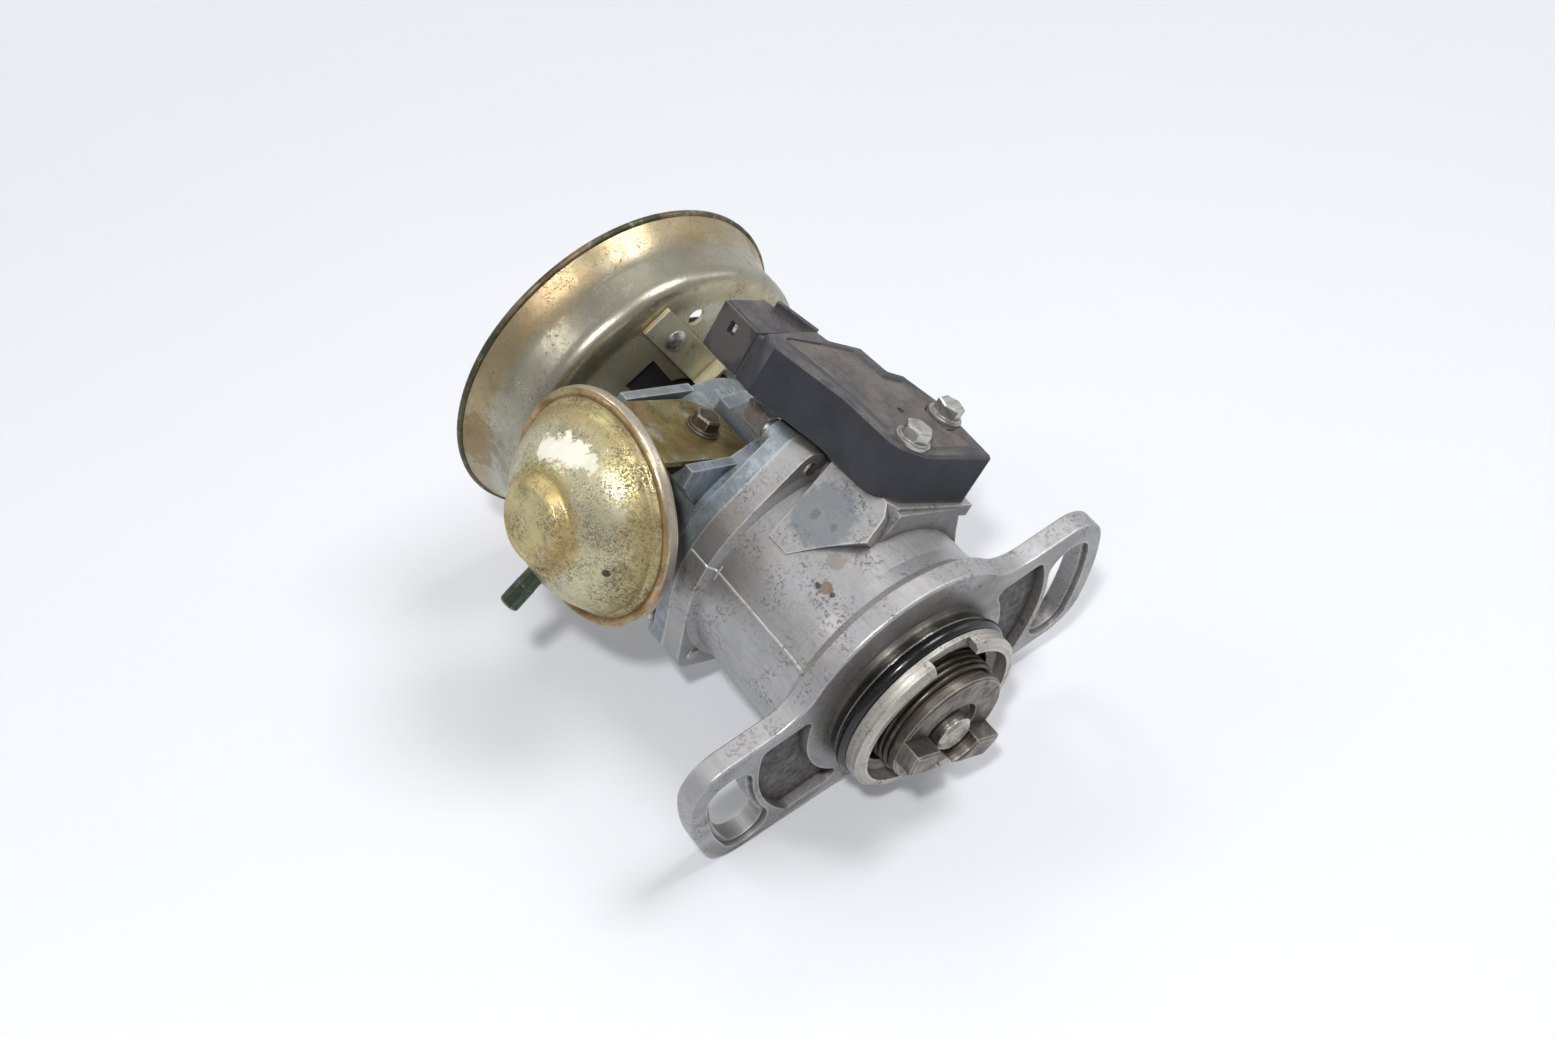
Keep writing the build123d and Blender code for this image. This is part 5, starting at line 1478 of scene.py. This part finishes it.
@dataclass
class IgnitionModule:
    """The moulded module on its seat, with its lid, socket and pins."""

    case: Moulded = Moulded("module_nylon", paint(40, 42, 50), roughness=0.42, seed=7.0, dust_amount=0.8,
                            dust=paint(122, 113, 105),
                            blots=(Blot((-77.0, -24.0, 44.5), 7.4, paint(88, 82, 80), 0.7, 0.25, 0.6,
                                        0.0),))
    # The catch's pale grey paints the white glint seen in the latch slot.
    catch: Moulded = Moulded("catch_nylon_painted_glint", paint(176, 176, 184), roughness=0.4, seed=27.0, dust_amount=0.2)
    lid: Moulded = Moulded("module_lid", paint(58, 56, 57), roughness=0.5, seed=11.0, dust_amount=0.9,
                           dust=paint(126, 117, 109))

    inner: Moulded = Moulded("inner_nylon", paint(34, 34, 36), roughness=0.5, seed=13.0, dust_amount=0.3)
    board: Moulded = Moulded("board_green", paint(36, 84, 52), roughness=0.4, seed=16.0, dust_amount=0.2,
                             rubbed=paint(90, 120, 90))
    pins: Machined = Machined("pin_brass", paint(206, 178, 112), roughness=0.3, film=paint(120, 92, 52),
                              seed=22.0)

    groove: float = 1.0
    groove_x: float = -69.9
    groove_foot: float = 36.0
    groove_end: float = -8.0
    seam: Tuple[float, float] = (1.1, 1.7)
    seam_start: float = -84.0
    seam_depth: float = 0.6
    block_side: float = -24.0
    block_top: float = 49.9
    catch_x: Tuple[float, float] = (-77.0, -76.1)
    catch_out: Tuple[float, float] = (0.2, 1.6)
    catch_z: Tuple[float, float] = (45.3, 46.7)
    rib_line: Tuple[Tuple[float, float], Tuple[float, float]] = ((-80.4, -8.5), (-68.8, -4.6))
    rib_width: float = 1.5
    rib_top: float = 51.9

    def build(self, nodes: Dict[str, bpy.types.Object]) -> List[bpy.types.Object]:
        """Cuts the grooves round the case's connector block and adds its rib and catch.

        Args:
            nodes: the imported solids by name.

        Returns:
            The pieces made.
        """
        x0, x1 = self.groove_x - self.groove / 2, self.groove_x + self.groove / 2
        side, top, deep = self.block_side, self.block_top, self.groove * 0.9
        cuts = (((side - 2, side + deep), (self.groove_foot, top + 1), (x0, x1)),
                ((side - 1, self.groove_end), (top - deep, top + 1), (x0, x1)),
                ((side + self.seam[0], side + self.seam[1]), (top - self.seam_depth, top + 1),
                 (self.seam_start, x0 + 0.01)))
        cutters = [block("groove", ((ya, za), (yb, za), (yb, zb), (ya, zb)), xa, xb)
                   for (ya, yb), (za, zb), (xa, xb) in cuts]
        case = cut_away(nodes["module_case"].data.copy(), cutters)
        made = [piece_from("case_moulding", case, "housing", 25.0)]
        (xa, ya), (xb, yb) = self.rib_line
        along = Vector((xb - xa, yb - ya, 0.0)).normalized()
        across = Vector((-along.y, along.x, 0.0)) * (self.rib_width / 2)
        start, end = Vector((xa, ya, 0.0)), Vector((xb, yb, 0.0))
        rib = self.slab("rib", [start - across, end - across, end + across, start + across],
                        top - 1.0, self.rib_top)
        made.append(piece_from("case_rib", rib, "housing", 25.0))
        (xa, xb), (near, far) = self.catch_x, self.catch_out
        catch = self.slab("catch", [Vector((x, side + out, 0.0)) for x, out in (
            (xa, near), (xb, near), (xb, far), (xa, far))], *self.catch_z)
        made.append(piece_from("latch_catch", catch, "housing", 25.0))
        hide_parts("module_case")
        return made

    @staticmethod
    def slab(name: str, corners: Sequence[Vector], low: float, high: float) -> bpy.types.Mesh:
        """Upright block over four corners, its edges eased.

        Args:
            name: the mesh's name.
            corners: the outline's corners, in millimetres.
            low: its bottom.
            high: its top.

        Returns:
            The mesh.
        """
        sheet = bmesh.new()
        rings = [[sheet.verts.new(Vector((c.x, c.y, z)) * MM) for c in corners] for z in (low, high)]
        sheet.faces.new(rings[0])
        sheet.faces.new(rings[1][::-1])
        for k in range(len(corners)):
            n = (k + 1) % len(corners)
            sheet.faces.new([rings[0][k], rings[1][k], rings[1][n], rings[0][n]])
        bmesh.ops.recalc_face_normals(sheet, faces=sheet.faces)
        bmesh.ops.bevel(sheet, geom=list(sheet.edges), offset=EASED_EDGE, segments=2, profile=0.5,
                        affect="EDGES")
        return mesh_of(sheet, name)

    def dress(self, nodes: Dict[str, bpy.types.Object], made: Sequence[bpy.types.Object]) -> None:
        """Gives the module its finishes.

        Args:
            nodes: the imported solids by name.
            made: the pieces that build returned.
        """
        for piece in made[:2]:
            self.case.dress(piece)
        self.catch.dress(made[2])
        self.lid.dress(nodes["module_lid"])
        for name in ("dust_cover", "pickup_coil"):
            self.inner.dress(nodes[name])
        self.board.dress(nodes["module_board"])
        self.pins.dress(nodes["module_terminals"])


@dataclass
class Studio:
    """The table, the lamps, the room's light and the camera."""

    up: Point = TABLE_UP
    eye: Point = (0.1505, -0.3395, 0.2205)
    right: Point = (0.602, 0.654, 0.458)
    above: Point = (-0.658, 0.081, 0.749)
    lens: float = 41.76
    table_colour: Colour = paint(232, 234, 238)
    table_shade: Colour = paint(176, 174, 170)
    sky_colour: Colour = paint(236, 239, 245)
    table_edge: Colour = paint(238, 241, 247)
    table_patch: Colour = paint(226, 229, 236)
    table_width: float = 5.0
    table_gap: float = 0.2 * MM
    table_steps: int = 24
    table_glow: float = 0.16
    near_table: float = 0.26
    far_table: float = 0.8
    lamps: Tuple[Tuple[str, Point, float, float], ...] = (
        ("lamp_over", (0.5, 0.1, 1.1), 0.45, 6.3),
        ("lamp_front", (-0.06, -0.42, 0.62), 0.06, 3.1),
        ("lamp_back", (-0.3, 0.9, 1.0), 0.5, 2.8),
        ("lamp_left", (-1.0, 0.1, 0.8), 0.4, 1.8),
        ("lamp_right", (1.0, 0.4, 0.6), 0.4, 1.0))

    def frame_axes(self) -> Tuple[Vector, Vector, Vector]:
        """Right, away and up over the table, as the camera looks at it."""
        up = Vector(self.up).normalized()
        away = Vector(self.right).normalized().cross(up) * -1.0
        away = (away - up * away.dot(up)).normalized()
        return away.cross(up), away, up

    def camera(self) -> None:
        """Places the camera."""
        data = bpy.data.cameras.new("camera")
        data.lens, data.sensor_width = self.lens, 36.0
        data.clip_start, data.clip_end = 0.01, 20.0
        made = bpy.data.objects.new("camera", data)
        bpy.context.scene.collection.objects.link(made)
        right = Vector(self.right).normalized()
        back = right.cross(Vector(self.above)).normalized()
        above = back.cross(right)
        turn = Matrix((right, above, back)).transposed().to_4x4()
        made.matrix_world = Matrix.Translation(Vector(self.eye)) @ turn
        bpy.context.scene.camera = made

    def light(self) -> None:
        """Hangs the lamps and sets the room's light."""
        right, away, up = self.frame_axes()
        middle = Vector((-0.05, 0.0, 0.0))
        for name, (side, back, high), width, power in self.lamps:
            data = bpy.data.lights.new(name, "AREA")
            data.shape, data.size, data.energy = "DISK", width, power
            lamp = bpy.data.objects.new(name, data)
            bpy.context.scene.collection.objects.link(lamp)
            at = middle + right * side + away * back + up * high
            lamp.location = at
            lamp.rotation_mode = "QUATERNION"
            lamp.rotation_quaternion = (middle - at).to_track_quat("-Z", "Y")
        world = bpy.data.worlds.new("room")
        bpy.context.scene.world = world
        world.use_nodes = True
        world.node_tree.nodes.clear()
        sheet = Sheet(world.node_tree)
        way = sheet.add("TexCoord").outputs["Generated"]
        high = sheet.vector("DOT_PRODUCT", way, tuple(up), out=1)
        far = sheet.vector("DOT_PRODUCT", way, tuple(away), out=1)
        sky = sheet.remap(high, 0.1, 0.9, 0.8, 0.24)
        room = sheet.remap(far, -0.7, 0.4, 0.2, 1.0)
        dim = sheet.times(sky, room)
        shade = sheet.add("CombineColor", {0: dim, 1: dim, 2: sheet.times(dim, 0.98)}).outputs[0]
        ray = sheet.add("LightPath")
        mirrored = sheet.math("ADD", ray.outputs["Is Glossy Ray"], ray.outputs["Is Transmission Ray"],
                              clamp=True)
        around = sheet.mix(sheet.times(mirrored, 0.35), shade, self.sky_colour)
        colour = sheet.mix(ray.outputs["Is Camera Ray"], around, self.sky_colour)
        glow = sheet.add("Background", {"Color": colour, "Strength": 1.0})
        out = sheet.add("OutputWorld")
        sheet.put(out.inputs["Surface"], glow.outputs[0])

    def table(self, nodes: Dict[str, bpy.types.Object]) -> None:
        """Lays the table under the lowest point of the part as it rests.

        Args:
            nodes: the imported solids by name.
        """
        right, away, up = self.frame_axes()
        low = min(up.dot(v.co) for node in nodes.values() for v in node.data.vertices)
        sheet = bmesh.new()
        steps, width = self.table_steps, self.table_width
        grid = [[sheet.verts.new(right * (i / steps - 0.5) * width + away * (j / steps - 0.5) * width
                                 + up * (low - self.table_gap)) for i in range(steps + 1)]
                for j in range(steps + 1)]
        for j in range(steps):
            for i in range(steps):
                sheet.faces.new((grid[j][i], grid[j][i + 1], grid[j + 1][i + 1], grid[j + 1][i]))
        mesh = mesh_of(sheet, "table")
        if mesh.polygons[0].normal.dot(up) < 0:
            mesh.flip_normals()
        made = bpy.data.objects.new("table", mesh)
        bpy.context.scene.collection.objects.link(made)
        cover = bpy.data.materials.new("table_cover")
        cover.use_nodes = True
        cover.node_tree.nodes.clear()
        lay = Sheet(cover.node_tree)
        soft = SHELF.use(lay, Effect.PATCHES, Size=160.0, Cover=0.5, Blur=0.3, Detail=2.0, Seed=3.0)
        pale = lay.mix(lay.times(soft, 0.3), self.table_colour, self.table_patch)
        ray = lay.add("LightPath")
        seen = lay.math("ADD", ray.outputs["Is Camera Ray"], lay.math(
            "ADD", ray.outputs["Is Glossy Ray"], ray.outputs["Is Transmission Ray"]), clamp=True)
        colour = lay.mix(seen, self.table_shade, pale)
        top = lay.add("BsdfPrincipled", {"Base Color": colour, "Roughness": 0.7})
        glow = lay.add("Emission", {"Color": self.table_edge, "Strength": 1.0})
        away_from = lay.vector("LENGTH", lay.add("TexCoord").outputs["Object"], out=1)
        share = lay.remap(away_from, self.near_table, self.far_table, self.table_glow, 1.0)
        lit = lay.add("MixShader", {0: lay.times(seen, share), 1: top.outputs[0], 2: glow.outputs[0]})
        under = lay.add("BsdfTransparent")
        side = lay.add("NewGeometry").outputs["Backfacing"]
        both = lay.add("MixShader", {0: side, 1: lit.outputs[0], 2: under.outputs[0]})
        out = lay.add("OutputMaterial")
        lay.put(out.inputs["Surface"], both.outputs[0])
        made.data.materials.append(cover)


def main() -> None:
    """Dresses the part, lights it and places the camera."""
    logging.basicConfig(level=logging.INFO, format="%(name)s: %(message)s")
    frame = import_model()
    nodes = frame["nodes"]
    bpy.context.scene.view_settings.view_transform = "Standard"
    SHELF.build()
    studio = Studio()
    studio.camera()
    studio.light()
    studio.table(nodes)
    for assembly in (Shield(), VacuumUnit(), Housings(), DriveEnd(), IgnitionModule()):
        made = assembly.build(nodes)
        assembly.dress(nodes, made)
        for piece in made:
            LOG.info("made %s", piece.name)


if __name__ == "__main__":
    main()
